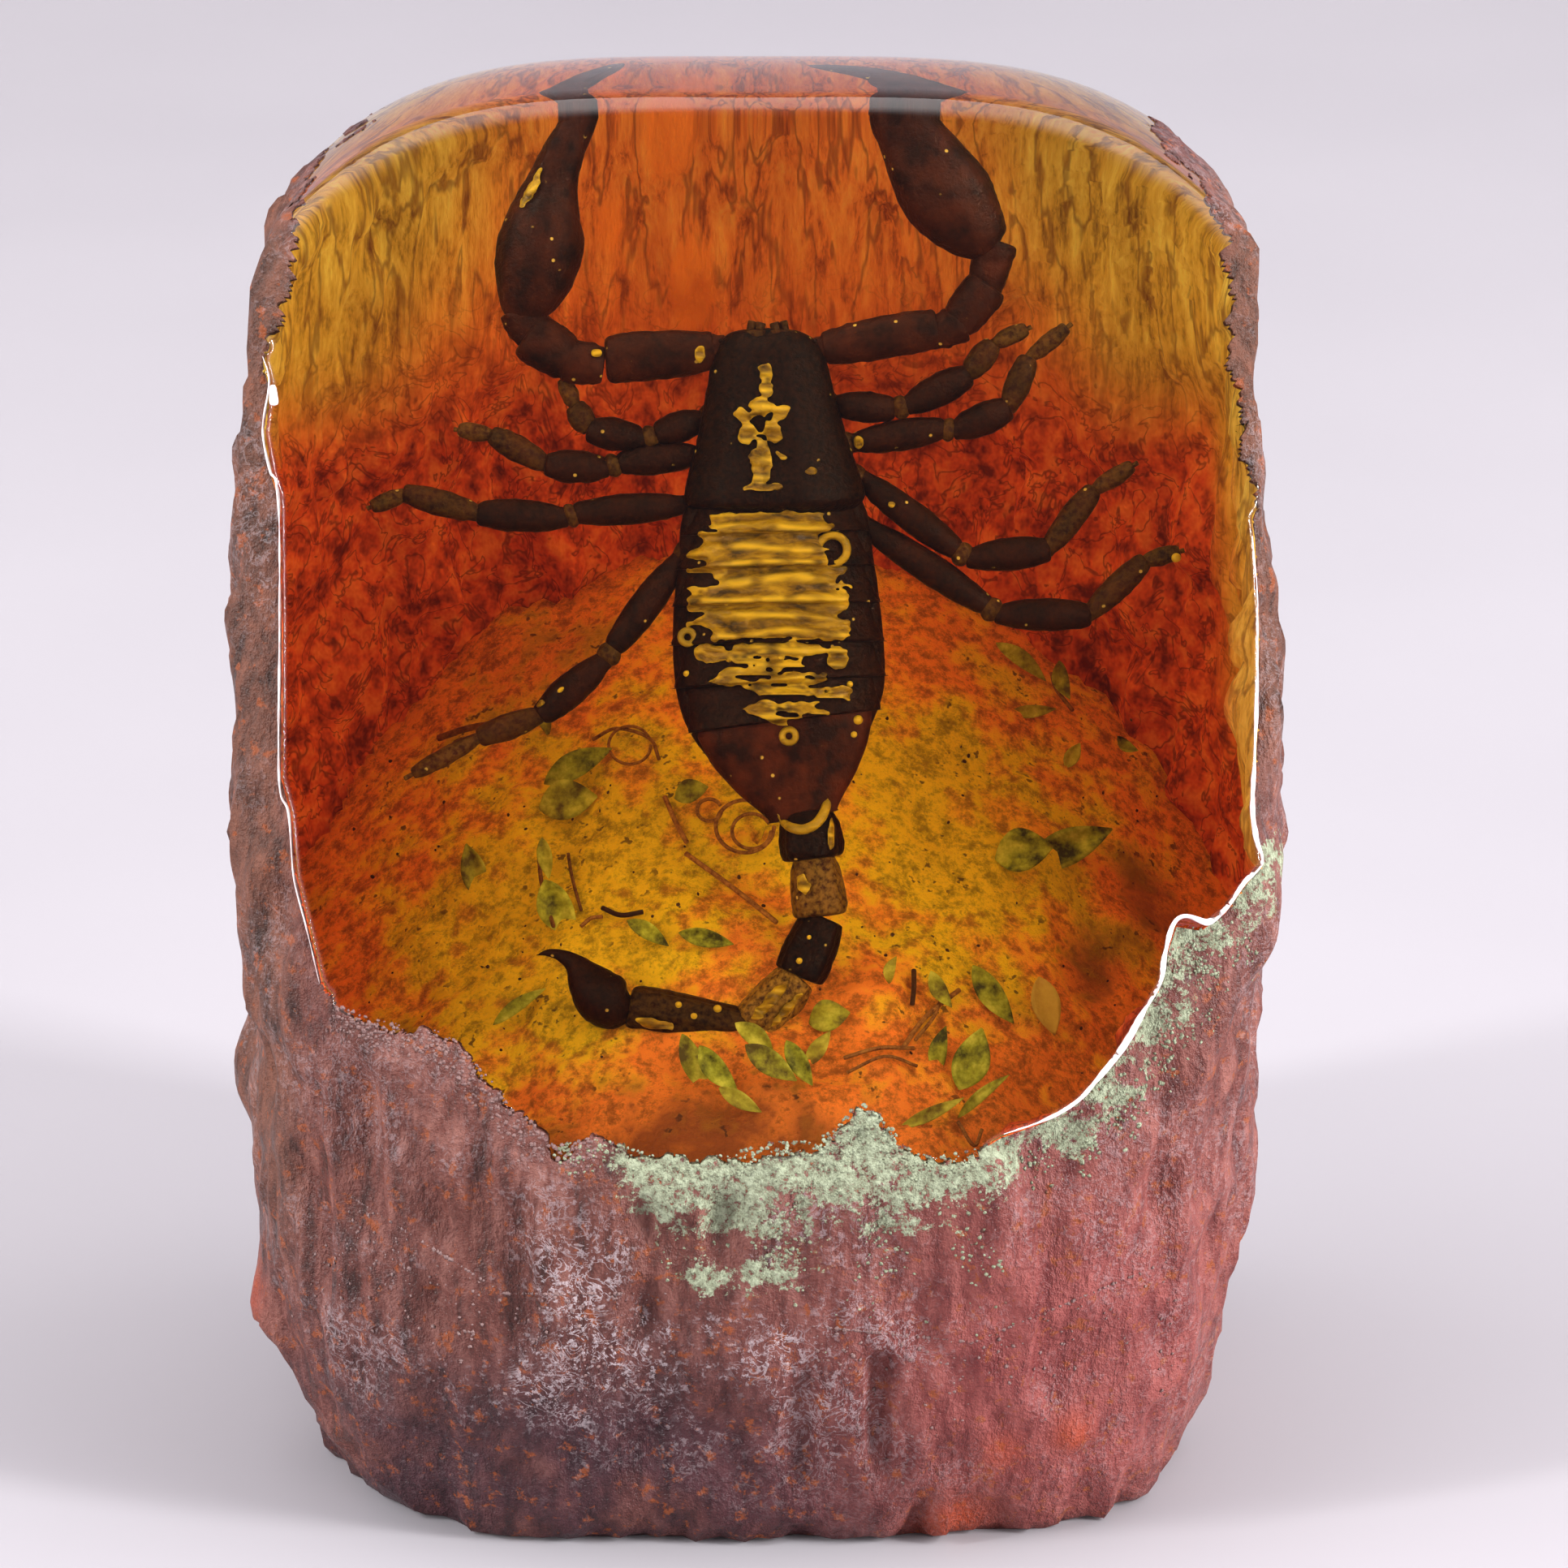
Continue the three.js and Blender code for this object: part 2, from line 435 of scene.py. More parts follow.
def quads_between(rows, columns, around=False, closed=False):
    """Quads of a grid of points. Its rows may run round, and its last row may meet the first."""
    quads = []
    for i in range(rows if closed else rows - 1):
        for j in range(columns if around else columns - 1):
            here, ahead, beside = i * columns, (i + 1) % rows * columns, (j + 1) % columns
            quads.append([here + j, here + beside, ahead + beside, ahead + j])
    return quads


def turned(quads):
    """The same quads, seen from their other side."""
    return [quad[:1] + quad[:0:-1] for quad in quads]


def closed_shell(outer, inner, faces):
    """Points and faces of a sheet with two sides, closed round every open edge."""
    count = len(outer)
    rim = [[b, a, a + count, b + count] for a, b in open_edges(faces)]
    back = [[corner + count for corner in face[::-1]] for face in faces]
    return np.concatenate([outer, inner]), faces + back + rim


# ---------------------------------------------------------------- node helpers

class Shade:
    """The nodes of a material or of the world, with a method for each kind of node."""

    def __init__(self, owner):
        owner.use_nodes = True
        self.tree = owner.node_tree

    def connect(self, target, **sockets):
        self.fill(target, {name.replace("_", " "): value for name, value in sockets.items()})

    def fill(self, target, inputs):
        """Links a node's inputs to values that come from nodes, and sets the others."""
        for name, value in inputs.items():
            if isinstance(value, bpy.types.NodeSocket):
                self.tree.links.new(value, target.inputs[name])
            else:
                target.inputs[name].default_value = value

    def node(self, kind, inputs=None, **settings):
        """Adds one shader node and returns its outputs."""
        made = self.tree.nodes.new("ShaderNode" + kind)
        for name, value in settings.items():
            setattr(made, name, value)
        self.fill(made, inputs or {})
        return made.outputs

    def attribute(self, name):
        return self.node("Attribute", attribute_name=name)["Fac"]

    def millimetres(self, stretch=(1, 1, 1)):
        """Object coordinates in mm, with each axis divided by a stretch."""
        place = self.node("TexCoord")["Object"]
        scale = [1 / (MM * amount) for amount in stretch]
        return self.node("Mapping", {"Vector": place, "Scale": scale})["Vector"]

    def mottle(self, place, size, detail=3.0, rough=0.6, warp=0.0):
        """Layered noise with features of a size in mm."""
        inputs = {"Vector": place, "Scale": 1 / size, "Detail": detail, "Roughness": rough}
        return self.node("TexNoise", {**inputs, "Distortion": warp})["Fac"]

    def spread(self, value, low, high, to_low=0.0, to_high=1.0):
        inputs = {"Value": value, "From Min": low, "From Max": high, "To Min": to_low, "To Max": to_high}
        return self.node("MapRange", inputs, interpolation_type="SMOOTHSTEP")["Result"]

    def calc(self, operation, a, b=0.0):
        return self.node("Math", {0: a, 1: b}, operation=operation)[0]

    def times(self, a, b):
        return self.calc("MULTIPLY", a, b)

    def seams(self, value):
        """How far a noise is from its middle: small along thin wandering lines."""
        return self.calc("ABSOLUTE", self.calc("SUBTRACT", value, 0.5))

    def mingle(self, share, a, b):
        """A number between two others."""
        return self.node("Mix", {0: share, 2: a, 3: b}, data_type="FLOAT")[0]

    def blend(self, share, a, b, how="MIX"):
        return self.node("Mix", {0: share, 6: a, 7: b}, data_type="RGBA", blend_type=how)[2]

    def ramp(self, value, stops):
        color = self.node("ValToRGB", {0: value})["Color"]
        elements = color.node.color_ramp.elements
        while len(elements) < len(stops):
            elements.new(0.5)
        for element, (position, tone) in zip(elements, stops):
            element.position = position
            element.color = (*tone, 1.0)
        return color

    def bump(self, height, strength, depth_mm):
        return self.node("Bump", {"Height": height, "Strength": strength, "Distance": depth_mm * MM})[0]


def new_material(name, gloss=None):
    """A Principled material, with its specular level set where gloss is given."""
    material = bpy.data.materials.new(name)
    add = Shade(material)
    shader = add.tree.nodes["Principled BSDF"]
    if gloss is not None:
        shader.inputs["Specular IOR Level"].default_value = gloss
    return material, add, shader


# ---------------------------------------------------------------- materials

AMBER = (0.96, 0.70, 0.10, 1.0)
AMBER_DENSITY = 26.0
# Painted glow: emission on the lining and on the bed, standing in for light that comes through the thin,
# translucent rind and the bed
RIND_PAINTED_GLOW = 0.16
BED_PAINTED_GLOW = 0.08
SEALED_GLOSS = 0.12


def resin_material():
    material, add, shader = new_material("amber_resin")
    add.connect(shader, Base_Color=(1.0, 0.96, 0.88, 1), Roughness=0.0, Transmission_Weight=1.0,
                IOR=RESIN_IOR)
    absorbed = add.node("VolumeAbsorption", {"Color": AMBER, "Density": AMBER_DENSITY})[0]
    add.connect(add.tree.nodes["Material Output"], Volume=absorbed)
    return material


def rind_material():
    """Dusty bark-like skin: mauve and purple zones, a rosy zone painted as glow of light coming out
    through the thin rind, rust, frosty bloom and pale green crust.
    """
    material, add, shader = new_material("weathered_rind", 0.3)
    place = add.millimetres()
    grain = add.millimetres((1, 1, 3.2))
    speckle = add.mottle(place, 0.5, 3.0, 0.75)
    broad = add.mottle(place, 9.0, 3.0, 0.6)
    streaks = add.mottle(grain, 1.2, 4.0, 0.7)
    mauve = add.ramp(streaks, [(0.32, (0.045, 0.014, 0.010)), (0.50, (0.130, 0.038, 0.028)),
                               (0.66, (0.230, 0.090, 0.070))])
    purple = add.ramp(streaks, [(0.32, (0.022, 0.006, 0.009)), (0.66, (0.075, 0.024, 0.030))])
    rosy = add.ramp(streaks, [(0.32, (0.140, 0.020, 0.020)), (0.66, (0.300, 0.070, 0.062))])
    bark = add.ramp(streaks, [(0.32, (0.030, 0.010, 0.005)), (0.66, (0.170, 0.062, 0.036))])
    shaded = add.times(add.attribute("purple"), add.spread(broad, 0.2, 0.5))
    color = add.blend(shaded, mauve, purple)
    # Painted glow: rosy colour where light would come out through the thin rind
    color = add.blend(add.attribute("rosy"), color, rosy)
    color = add.blend(add.attribute("bark"), color, bark)
    rust = add.spread(add.mottle(place, 1.1, 3.0, 0.7), 0.57, 0.67)
    color = add.blend(add.times(rust, 0.75), color, (0.27, 0.060, 0.012, 1))
    color = add.blend(add.attribute("drip"), color, (0.34, 0.045, 0.010, 1))
    veins = add.seams(add.mottle(place, 1.5, 3.0, 0.74, 1.0))
    veins = add.times(add.spread(veins, 0.0, 0.035, 1.0, 0.0), add.spread(broad, 0.46, 0.60))
    dust = add.times(add.spread(speckle, 0.54, 0.64), add.spread(broad, 0.38, 0.60))
    frost = add.times(add.calc("MAXIMUM", veins, dust), add.attribute("frost"))
    color = add.blend(frost, color, (0.52, 0.43, 0.45, 1))
    crust_noise = add.calc("ADD", add.mottle(place, 2.2, 5.0, 0.8), add.attribute("crust"))
    crust = add.times(add.spread(crust_noise, 0.98, 1.04), add.spread(speckle, 0.35, 0.42))
    green = add.ramp(speckle, [(0.38, (0.14, 0.125, 0.08)), (0.50, (0.25, 0.275, 0.18)),
                               (0.64, (0.37, 0.41, 0.28))])
    color = add.blend(add.attribute("pale"), color, (0.27, 0.17, 0.16, 1))
    color = add.blend(crust, color, green)
    relief = add.calc("ADD", add.times(streaks, 0.8), add.times(speckle, 0.7))
    rough = add.calc("MAXIMUM", add.spread(streaks, 0.3, 0.7, 0.30, 0.62), add.times(crust, 0.85))
    add.connect(shader, Base_Color=color, Roughness=rough, Normal=add.bump(relief, 0.9, 0.5))
    return material


def lining_material():
    """Bark-textured inside of the rind: yellow at the sides, orange in the middle, red lower down, with
    a painted glow given out as emission, weaker in the red.
    """
    material, add, shader = new_material("bark_lining", SEALED_GLOSS)
    grain = add.millimetres((1, 1, 6.0))
    wrinkled = add.millimetres((1, 1, 1.3))
    low = add.attribute("red")
    fine = add.mingle(low, add.mottle(grain, 0.85, 4.0, 0.72),
                      add.mottle(wrinkled, 1.4, 3.0, 0.65))
    yellow = add.ramp(fine, [(0.30, (0.20, 0.09, 0.01)), (0.47, (0.72, 0.44, 0.05)),
                             (0.66, (0.95, 0.72, 0.12))])
    orange = add.ramp(fine, [(0.30, (0.30, 0.055, 0.01)), (0.45, (0.80, 0.20, 0.03)),
                             (0.66, (0.98, 0.36, 0.06))])
    red = add.ramp(fine, [(0.32, (0.20, 0.02, 0.008)), (0.50, (0.76, 0.10, 0.024)),
                          (0.66, (0.95, 0.22, 0.05))])
    color = add.blend(add.attribute("yellow"), orange, yellow)
    color = add.blend(low, color, red)
    cracks = add.seams(add.mottle(grain, 2.4, 3.0, 0.6))
    creases = add.seams(add.mottle(wrinkled, 2.3, 3.0, 0.66, 0.7))
    seams = add.mingle(low, add.spread(cracks, 0.0, 0.04, 0.6, 0.0),
                       add.spread(creases, 0.0, 0.03, 0.7, 0.0))
    color = add.blend(seams, color, (0.14, 0.020, 0.006, 1))
    color = add.blend(add.times(add.attribute("patch"), 0.85), color, (0.99, 0.25, 0.03, 1))
    # Painted glow: the lining's own colour given out as emission, less of it in the red zone
    glow = add.blend(add.times(low, 0.65), color, (0, 0, 0, 1))
    add.connect(shader, Base_Color=color, Roughness=0.6, Normal=add.bump(fine, 0.8, 0.6),
                Emission_Color=glow, Emission_Strength=RIND_PAINTED_GLOW)
    return material


def bed_material():
    """Mottled granular bed: yellow in the middle, orange towards its edges, dark specks, and a faint
    painted glow of its own colour.
    """
    material, add, shader = new_material("granular_bed", SEALED_GLOSS)
    place = add.millimetres()
    fine = add.mottle(place, 1.0, 4.0, 0.78)
    clouds = add.mottle(place, 4.0, 3.0, 0.7)
    glow = add.calc("ADD", add.attribute("yellow"), add.spread(clouds, 0.3, 0.7, -0.5, 0.5))
    base = add.ramp(glow, [(0.10, (0.90, 0.24, 0.03)), (0.45, (0.93, 0.38, 0.025)),
                           (0.80, (0.82, 0.52, 0.012))])
    color = add.blend(1.0, base, add.spread(fine, 0.32, 0.60, 0.42, 1.12), "MULTIPLY")
    patchy = add.mingle(0.4, clouds, fine)
    darkened = add.spread(add.calc("ADD", patchy, add.attribute("darkening")), 0.62, 0.80, 0.0, 0.8)
    color = add.blend(darkened, color, (0.16, 0.035, 0.010, 1))
    specks = add.times(add.spread(add.mottle(place, 0.7, 2.0, 0.6), 0.62, 0.68),
                       add.spread(clouds, 0.46, 0.58))
    color = add.blend(add.times(specks, 0.8), color, (0.05, 0.015, 0.008, 1))
    # Painted glow: the bed's colour is also given out as emission
    add.connect(shader, Base_Color=color, Roughness=0.6, Normal=add.bump(fine, 0.8, 0.4),
                Emission_Color=color, Emission_Strength=BED_PAINTED_GLOW)
    return material


def shell_material():
    """Granular dark shell: brown where thin, amber as a painted glow where light would come through, and
    gold specks as painted reflections of tiny air pockets.
    """
    material, add, shader = new_material("scorpion_shell", 0.09)
    place = add.millimetres()
    grains = add.mottle(place, 0.32, 3.0, 0.6)
    patches = add.mottle(place, 1.6, 3.0, 0.6)
    dark = add.ramp(grains, [(0.35, (0.003, 0.0010, 0.0005)), (0.65, (0.022, 0.006, 0.0015))])
    brown = add.ramp(patches, [(0.35, (0.018, 0.004, 0.0015)), (0.65, (0.110, 0.020, 0.006))])
    amber = add.ramp(grains, [(0.35, (0.060, 0.020, 0.004)), (0.60, (0.460, 0.240, 0.030))])
    color = add.blend(add.attribute("brown"), dark, brown)
    # Painted glow: amber where light would come through the shell
    color = add.blend(add.attribute("amber"), color, amber)
    # Painted reflection: gold specks for tiny air pockets that mirror the light
    cells = add.node("TexVoronoi", {"Vector": place, "Scale": 1 / 1.1})["Distance"]
    specks = add.times(add.spread(cells, 0.07, 0.12, 1.0, 0.0), add.spread(patches, 0.46, 0.54))
    color = add.blend(specks, color, (0.75, 0.50, 0.09, 1))
    add.connect(shader, Base_Color=color, Roughness=0.42, Normal=add.bump(grains, 0.8, 0.12))
    return material


def air_material():
    """Trapped air, which mirrors the amber round it: a gold film whose colour is that reflection,
    painted, with brighter and darker ripples and painted highlights.
    """
    material, add, shader = new_material("trapped_air", 0.3)
    ripples = add.mottle(add.millimetres((2.6, 1, 1)), 0.7, 4.0, 0.6, 0.3)
    # Painted reflection: the gold stands for the light that the trapped air mirrors
    color = add.ramp(ripples, [(0.36, (0.050, 0.024, 0.001)), (0.50, (0.25, 0.130, 0.001)),
                               (0.66, (0.50, 0.29, 0.003))])
    # Painted highlight: bright gold where it is marked
    color = add.blend(add.attribute("shine"), color, (0.90, 0.58, 0.02, 1))
    add.connect(shader, Base_Color=color, Roughness=0.35, Normal=add.bump(ripples, 0.6, 0.3))
    return material


def leaf_material():
    material, add, shader = new_material("dried_leaf", 0.2)
    place = add.millimetres()
    blotch = add.mottle(place, 1.5, 4.0, 0.65)
    color = add.ramp(blotch, [(0.36, (0.05, 0.045, 0.004)), (0.52, (0.38, 0.39, 0.020)),
                              (0.68, (0.75, 0.72, 0.080))])
    color = add.blend(add.attribute("dry"), color, (0.70, 0.40, 0.060, 1))
    veins = add.mottle(place, 0.35, 2.0, 0.5)
    add.connect(shader, Base_Color=color, Roughness=0.55, Normal=add.bump(veins, 0.6, 0.1))
    return material


def debris_material():
    material, add, shader = new_material("plant_debris", 0.2)
    fibres = add.mottle(add.millimetres(), 0.4, 4.0, 0.7)
    straw = add.ramp(fibres, [(0.35, (0.20, 0.060, 0.012)), (0.65, (0.60, 0.26, 0.050))])
    color = add.blend(add.attribute("dark"), straw, (0.040, 0.014, 0.008, 1))
    add.connect(shader, Base_Color=color, Roughness=0.6, Normal=add.bump(fibres, 0.6, 0.1))
    return material


# ---------------------------------------------------------------- resin, rind and bed

BLOCK_CELLS = 84
FINER_WITHIN = (1.4, 0.9)
ASKEW = (0.3, 0.2, 0.9)
SLOPE_STEP = 0.0015
SNAP_MOST = 0.005
EDGE_SLACK = 0.03
RIND_THIN = 0.25
RIND_COVER = 0.6
# Ridges of the lining, in the form of the bark's layers
LINING_RIDGES = (0.9, 2.6, 10.0, 21.0)
LINING_GRAIN = (0.5, 1.2, 4.0, 2.0)
BED_CELLS = 70
WALL_CELLS = 48
BED_TOP = 46.0
BED_ARCH = 0.019
BED_BACK = 21.0
BED_SLOPE = 0.42
BED_SAG = 0.0018
BED_CENTRE = np.array([0.0, -2.0, 16.0])
BED_INSET = 1.6
BED_YELLOWS = [((-11, -1, 34), (11, 13, 30)), ((11, 4, 38), (9, 10, 30))]
# Darker patches on the bed, as place, radii and share; two of them darken its front towards the crust
BED_DARK_PATCHES = [((23.0, 7.0, 34), (3.4, 3.4, 30), 1.0), ((19.4, -0.5, 29), (2.6, 3.8, 30), 1.0),
              ((-23, -6, 30), (5, 5, 30), 0.8), ((-3, -19, 28), (14, 4.5, 30), 0.8),
              ((-9, -22, 28), (8, 4, 30), 0.7), ((-12, 17, 36), (7, 5, 30), 0.6)]


def soft_spot(points, spot, radii):
    """A share that is 1 at a place and fades away from it."""
    away = (points - np.array(spot)) / np.array(radii)
    return np.exp(-np.sum(away ** 2, axis=1))


def rind_end(directions):
    """Distance, in mm, inside the line where the rind ends under the lip or in the ragged crust."""
    _, _, inside, lip = block_layers(directions)
    return inside - LIP_OVERLAP * lip


def snapped(directions):
    """Directions with those near the rind's end moved onto it, so that it ends in a clean line."""
    past = rind_end(directions)
    near = np.abs(past) < SNAP_WITHIN
    ways, past = directions[near], past[near]
    first = unit(np.cross(ways, ASKEW))
    second = np.cross(ways, first)
    slopes = [(rind_end(unit(ways + SLOPE_STEP * side)) - past) / SLOPE_STEP for side in (first, second)]
    size = np.maximum(slopes[0] ** 2 + slopes[1] ** 2, 1e-6)
    shift = -(past / size)[:, None] * (slopes[0][:, None] * first + slopes[1][:, None] * second)
    shift *= np.minimum(1, SNAP_MOST / np.maximum(np.linalg.norm(shift, axis=1, keepdims=True), 1e-9))
    moved = directions.copy()
    moved[near] = unit(ways + shift)
    return moved


def block_cells():
    directions, faces = sphere_of_cells(BLOCK_CELLS)
    for near in FINER_WITHIN:
        inside = block_layers(directions)[2]
        directions, faces = refine(directions, faces, np.abs(inside) < near)
    return snapped(directions), faces


def make_resin(directions, faces, body):
    piece = mesh_object("clear_resin", CENTRE + directions * body[:, None], faces, resin_material())
    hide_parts("resin_block")
    return keep_piece(piece)


# Zones of the rind as place and radii in mm
PURPLE_FOOT = ((-10, -22, 2), (20, 60, 11))
# A rosy zone on the lower right side, painted as glow of light coming out through the thin rind
ROSY_GLOW_SIDE = ((19, -22, 12), (13, 30, 16))
FROSTED = ((-8, -24, 15), (14, 30, 7))
LOWER_CRUST = ((-0.8, -24, 19.6), (7.0, 9, 3.0))
BRIGHT_PATCHES = [((-5.2, 18, 75), (1.8, 20, 4.5)), ((-3.8, 20, 64), (1.5, 20, 3.6)),
                  ((-8.5, 20, 68), (0.8, 20, 2.0))]
CRUST_REACH = 4.4
CRUST_REACH_MIDDLE = 5.2


def paint_outside(shell, points):
    """Zones of colour on the weathered side of the rind."""
    x, y, z = points.T
    purple = soft_spot(points, *PURPLE_FOOT) * 1.5 + ease(0, 14, y) * 0.5
    store(shell, "purple", np.clip(purple, 0, 1))
    store(shell, "rosy", np.clip(1.1 * soft_spot(points, *ROSY_GLOW_SIDE), 0, 0.9))
    left_bark = ease(-26.0, -29.0, x) * ease(10, 24, z)
    right_bark = ease(26.0, 29.0, x) * ease(42, 52, z)
    top_bark = ease(62, 70, z) * ease(2, -4, y)
    store(shell, "bark", 0.9 * (left_bark + right_bark) + 0.9 * top_bark)
    frost = 0.2 + 0.8 * soft_spot(points, *FROSTED)
    store(shell, "frost", frost * (0.35 + 0.65 * ease(2, 9, z)))
    drips = sum(soft_spot(points, spot, (radius * 0.8,) * 3) for spot, radius, _ in RED_DRIPS)
    store(shell, "drip", np.clip(drips * 0.9, 0, 0.85))
    spots = pixels_of(points)
    to_edge = distance_to_line(spots, CRUST_EDGE + RIGHT_LIP[:13]) * PIXEL
    reach = CRUST_REACH + CRUST_REACH_MIDDLE * np.exp(-((spots[:, 0] - 1000) / 200) ** 2)
    place = ease(660, 800, spots[:, 0]) * ease(-6, -12, y)
    place = place * (1 - 0.12 * ease(1160, 1300, spots[:, 0]))
    along_edge = 0.66 * np.exp(-((to_edge / reach) ** 2))
    lower = 0.60 * soft_spot(points, *LOWER_CRUST)
    store(shell, "crust", place * np.maximum(along_edge, lower) - 0.02)


def paint_inside(shell, points):
    """Zones of colour on the lining: yellow sides and an ochre strip, red low down, bright patches."""
    x, y, z = points.T
    level = z + 0.25 * (y - 15)
    yellow = ease(12, 22, np.abs(x + 1) + 0.2 * (z - 60)) * ease(34, 56, level)
    strip = ease(26.2, 28.4, x + 0.8 * noise(points / (3.0, 3.0, 8.0))) * ease(34, 44, z)
    store(shell, "yellow", np.maximum(yellow, 0.85 * strip))
    side = ease(17, 24, np.abs(x + 1))
    red = ease(70, 54, level) * (1 - 0.9 * side * ease(54, 63, level))
    store(shell, "red", red * (1 - 0.85 * strip))
    patches = sum(soft_spot(points, *patch) for patch in BRIGHT_PATCHES)
    store(shell, "patch", ease(0.35, 0.55, patches))


def points_lip(face, lip, count):
    """Whether a face on the shell's inside, or on its rim at a smooth lip, shows the lining."""
    on_rim = min(face) < count
    return int(not on_rim or lip[min(face)] > 0.5)


def make_rind(directions, faces, rind, inside, lip):
    """A closed shell: weathered outside, bark-textured inside, open at the window."""
    edge = inside - LIP_OVERLAP * lip
    faces = [face for face in faces if (edge[face] < EDGE_SLACK).all()]
    outer = CENTRE + directions * rind[:, None]
    faces, (directions, inside, lip, outer) = only_used(faces, directions, inside, lip, outer)
    ridge = LINING_RIDGES[0] + LINING_RIDGES[0] * bark_noise(outer, LINING_RIDGES)
    ridge = ridge + LINING_GRAIN[0] * bark_noise(outer, LINING_GRAIN)
    depth = RIND_THIN + (RIND_COVER + np.maximum(ridge, 0)) * ease(-0.4, -3.0, inside)
    points, all_faces = closed_shell(outer, outer - directions * depth[:, None], faces)
    shell = mesh_object("bark_rind", points, all_faces, rind_material())
    shell.data.materials.append(lining_material())
    sides = np.zeros(len(all_faces), int)
    sides[len(faces):] = [points_lip(face, lip, len(outer)) for face in all_faces[len(faces):]]
    shell.data.polygons.foreach_set("material_index", sides)
    paint_outside(shell, points)
    paint_inside(shell, points)
    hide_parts("resin_block")
    return keep_piece(shell)


def bed_height(points):
    back = BED_BACK - points[:, 1]
    return BED_TOP - BED_ARCH * points[:, 0] ** 2 - BED_SLOPE * back - BED_SAG * back ** 2


def make_bed():
    """A lumpy mound that fills the block inside the rind up to the bed's height."""
    directions, quads = sphere_of_cells(BED_CELLS)
    coarse, coarse_quads = sphere_of_cells(WALL_CELLS)
    wall = CENTRE + coarse * block_layers(coarse)[1][:, None]
    wall = surface_of(wall, coarse_quads)
    reach = [wall.ray_cast(Vector(BED_CENTRE), Vector(way))[3] - BED_INSET for way in directions]

    def over_bed(distances):
        spots = BED_CENTRE + directions * distances[:, None]
        return spots[:, 2] > bed_height(spots)

    near, far = halve(np.zeros(len(directions)), np.array(reach), 20, over_bed)
    points = BED_CENTRE + directions * ((near + far) / 2)[:, None]
    lumps = 0.55 * noise(points / 3.0 + 1.7) + 0.22 * noise(points / 1.2 + 4.4)
    on_top = ease(2.0, 0.5, np.abs(points[:, 2] - bed_height(points)))
    points = points + directions * (lumps * on_top)[:, None]
    made = mesh_object("granular_bed", points, quads, bed_material())
    glow = sum(soft_spot(points, *yellow) for yellow in BED_YELLOWS)
    # Less yellow towards the front, by the crust
    store(made, "yellow", np.clip(glow * 1.25 - 0.45 * ease(-9, -19, points[:, 1]), 0, 1))
    darkening = sum(share * soft_spot(points, spot, radii) for spot, radii, share in BED_DARK_PATCHES)
    store(made, "darkening", np.clip(darkening, 0, 1) * 0.30)
    keep_piece(made)
    return surface_of(points, quads)


directions, faces = block_cells()
body, rind, inside, lip = block_layers(directions)
make_resin(directions, faces, body)
make_rind(directions, faces, rind, inside, lip)
bed_surface = make_bed()

# ---------------------------------------------------------------- places seen through the face

SPECIMEN_DEPTH = 12.0


def above_face(points):
    away = points - CENTRE
    curve = away[:, 0] ** 2 / (2 * FACE_RADIUS_ACROSS) + (away @ FACE_UP) ** 2 / (2 * FACE_RADIUS_ALONG)
    return away @ FACE_NORMAL + curve - FACE_CROWN


def seen_rays(pixels):
    """Where lines of sight enter the polished face, and their directions inside the resin."""
    lines = sight_lines(pixels)
    nearest, farthest = (np.full(len(lines), CAMERA_DISTANCE + side) for side in (-REACH, REACH))
    near, _ = halve(nearest, farthest, 40, lambda middle: above_face(EYE + lines * middle[:, None]) <= 0)
    entry = EYE + lines * near[:, None]
    away = entry - CENTRE
    normals = unit(FACE_NORMAL + away[:, :1] / FACE_RADIUS_ACROSS * RIGHT
                   + (away @ FACE_UP)[:, None] / FACE_RADIUS_ALONG * FACE_UP)
    cosine = -np.sum(lines * normals, axis=1)
    ratio = 1 / RESIN_IOR
    bend = ratio * cosine - np.sqrt(1 - ratio ** 2 * (1 - cosine ** 2))
    return entry, unit(ratio * lines + bend[:, None] * normals)


def in_resin(pixels, lift=0.0):
    """The places seen at pixels on the specimen's plane, lifted towards the face."""
    entry, inward = seen_rays(np.asarray(pixels, float))
    level = FACE_CROWN - SPECIMEN_DEPTH + lift
    fall = ((entry - CENTRE) @ FACE_NORMAL - level) / -(inward @ FACE_NORMAL)
    return entry + inward * fall[:, None]


def seen_on(surface, pixels, above=0.0):
    """The places seen at pixels on a surface, and which of them fall on it."""
    entry, inward = seen_rays(np.asarray(pixels, float))
    hits = [surface.ray_cast(Vector(start), Vector(way))[0] for start, way in zip(entry, inward)]
    found = np.array([hit is not None for hit in hits])
    places = np.array([hit if hit is not None else start for hit, start in zip(hits, entry)])
    return places - inward * above, found


# ---------------------------------------------------------------- lofted bodies

# A limb's joint, as share of its length and share of its half width
JOINT_PROFILE = [(-0.05, 0.0), (-0.045, 0.66), (0.04, 0.80), (0.28, 0.93), (0.70, 1.0), (0.93, 0.98),
                 (1.04, 0.80), (1.05, 0.0)]
LEG_PROFILE = [(-0.05, 0.0), (-0.04, 0.5), (0.04, 0.62), (0.25, 0.88), (0.60, 1.0), (0.88, 0.84),
               (1.03, 0.6), (1.05, 0.0)]
LEAST_RADIUS = 0.02
KEELS = 8
GRANULE = 0.33


def through(rows, steps):
    """A smooth run of rows that passes through the given ones."""
    rows = np.array(rows, float)
    rows = np.concatenate([[2 * rows[0] - rows[1]], rows, [2 * rows[-1] - rows[-2]]])
    made = []
    for a, b, c, d in zip(rows, rows[1:], rows[2:], rows[3:]):
        for t in np.arange(steps) / steps:
            made.append(b + (c - a) * t / 2 + (a - 2.5 * b + 2 * c - d / 2) * t ** 2
                        + (1.5 * b - a / 2 - 1.5 * c + d / 2) * t ** 3)
    return np.array(made + [rows[-2]])


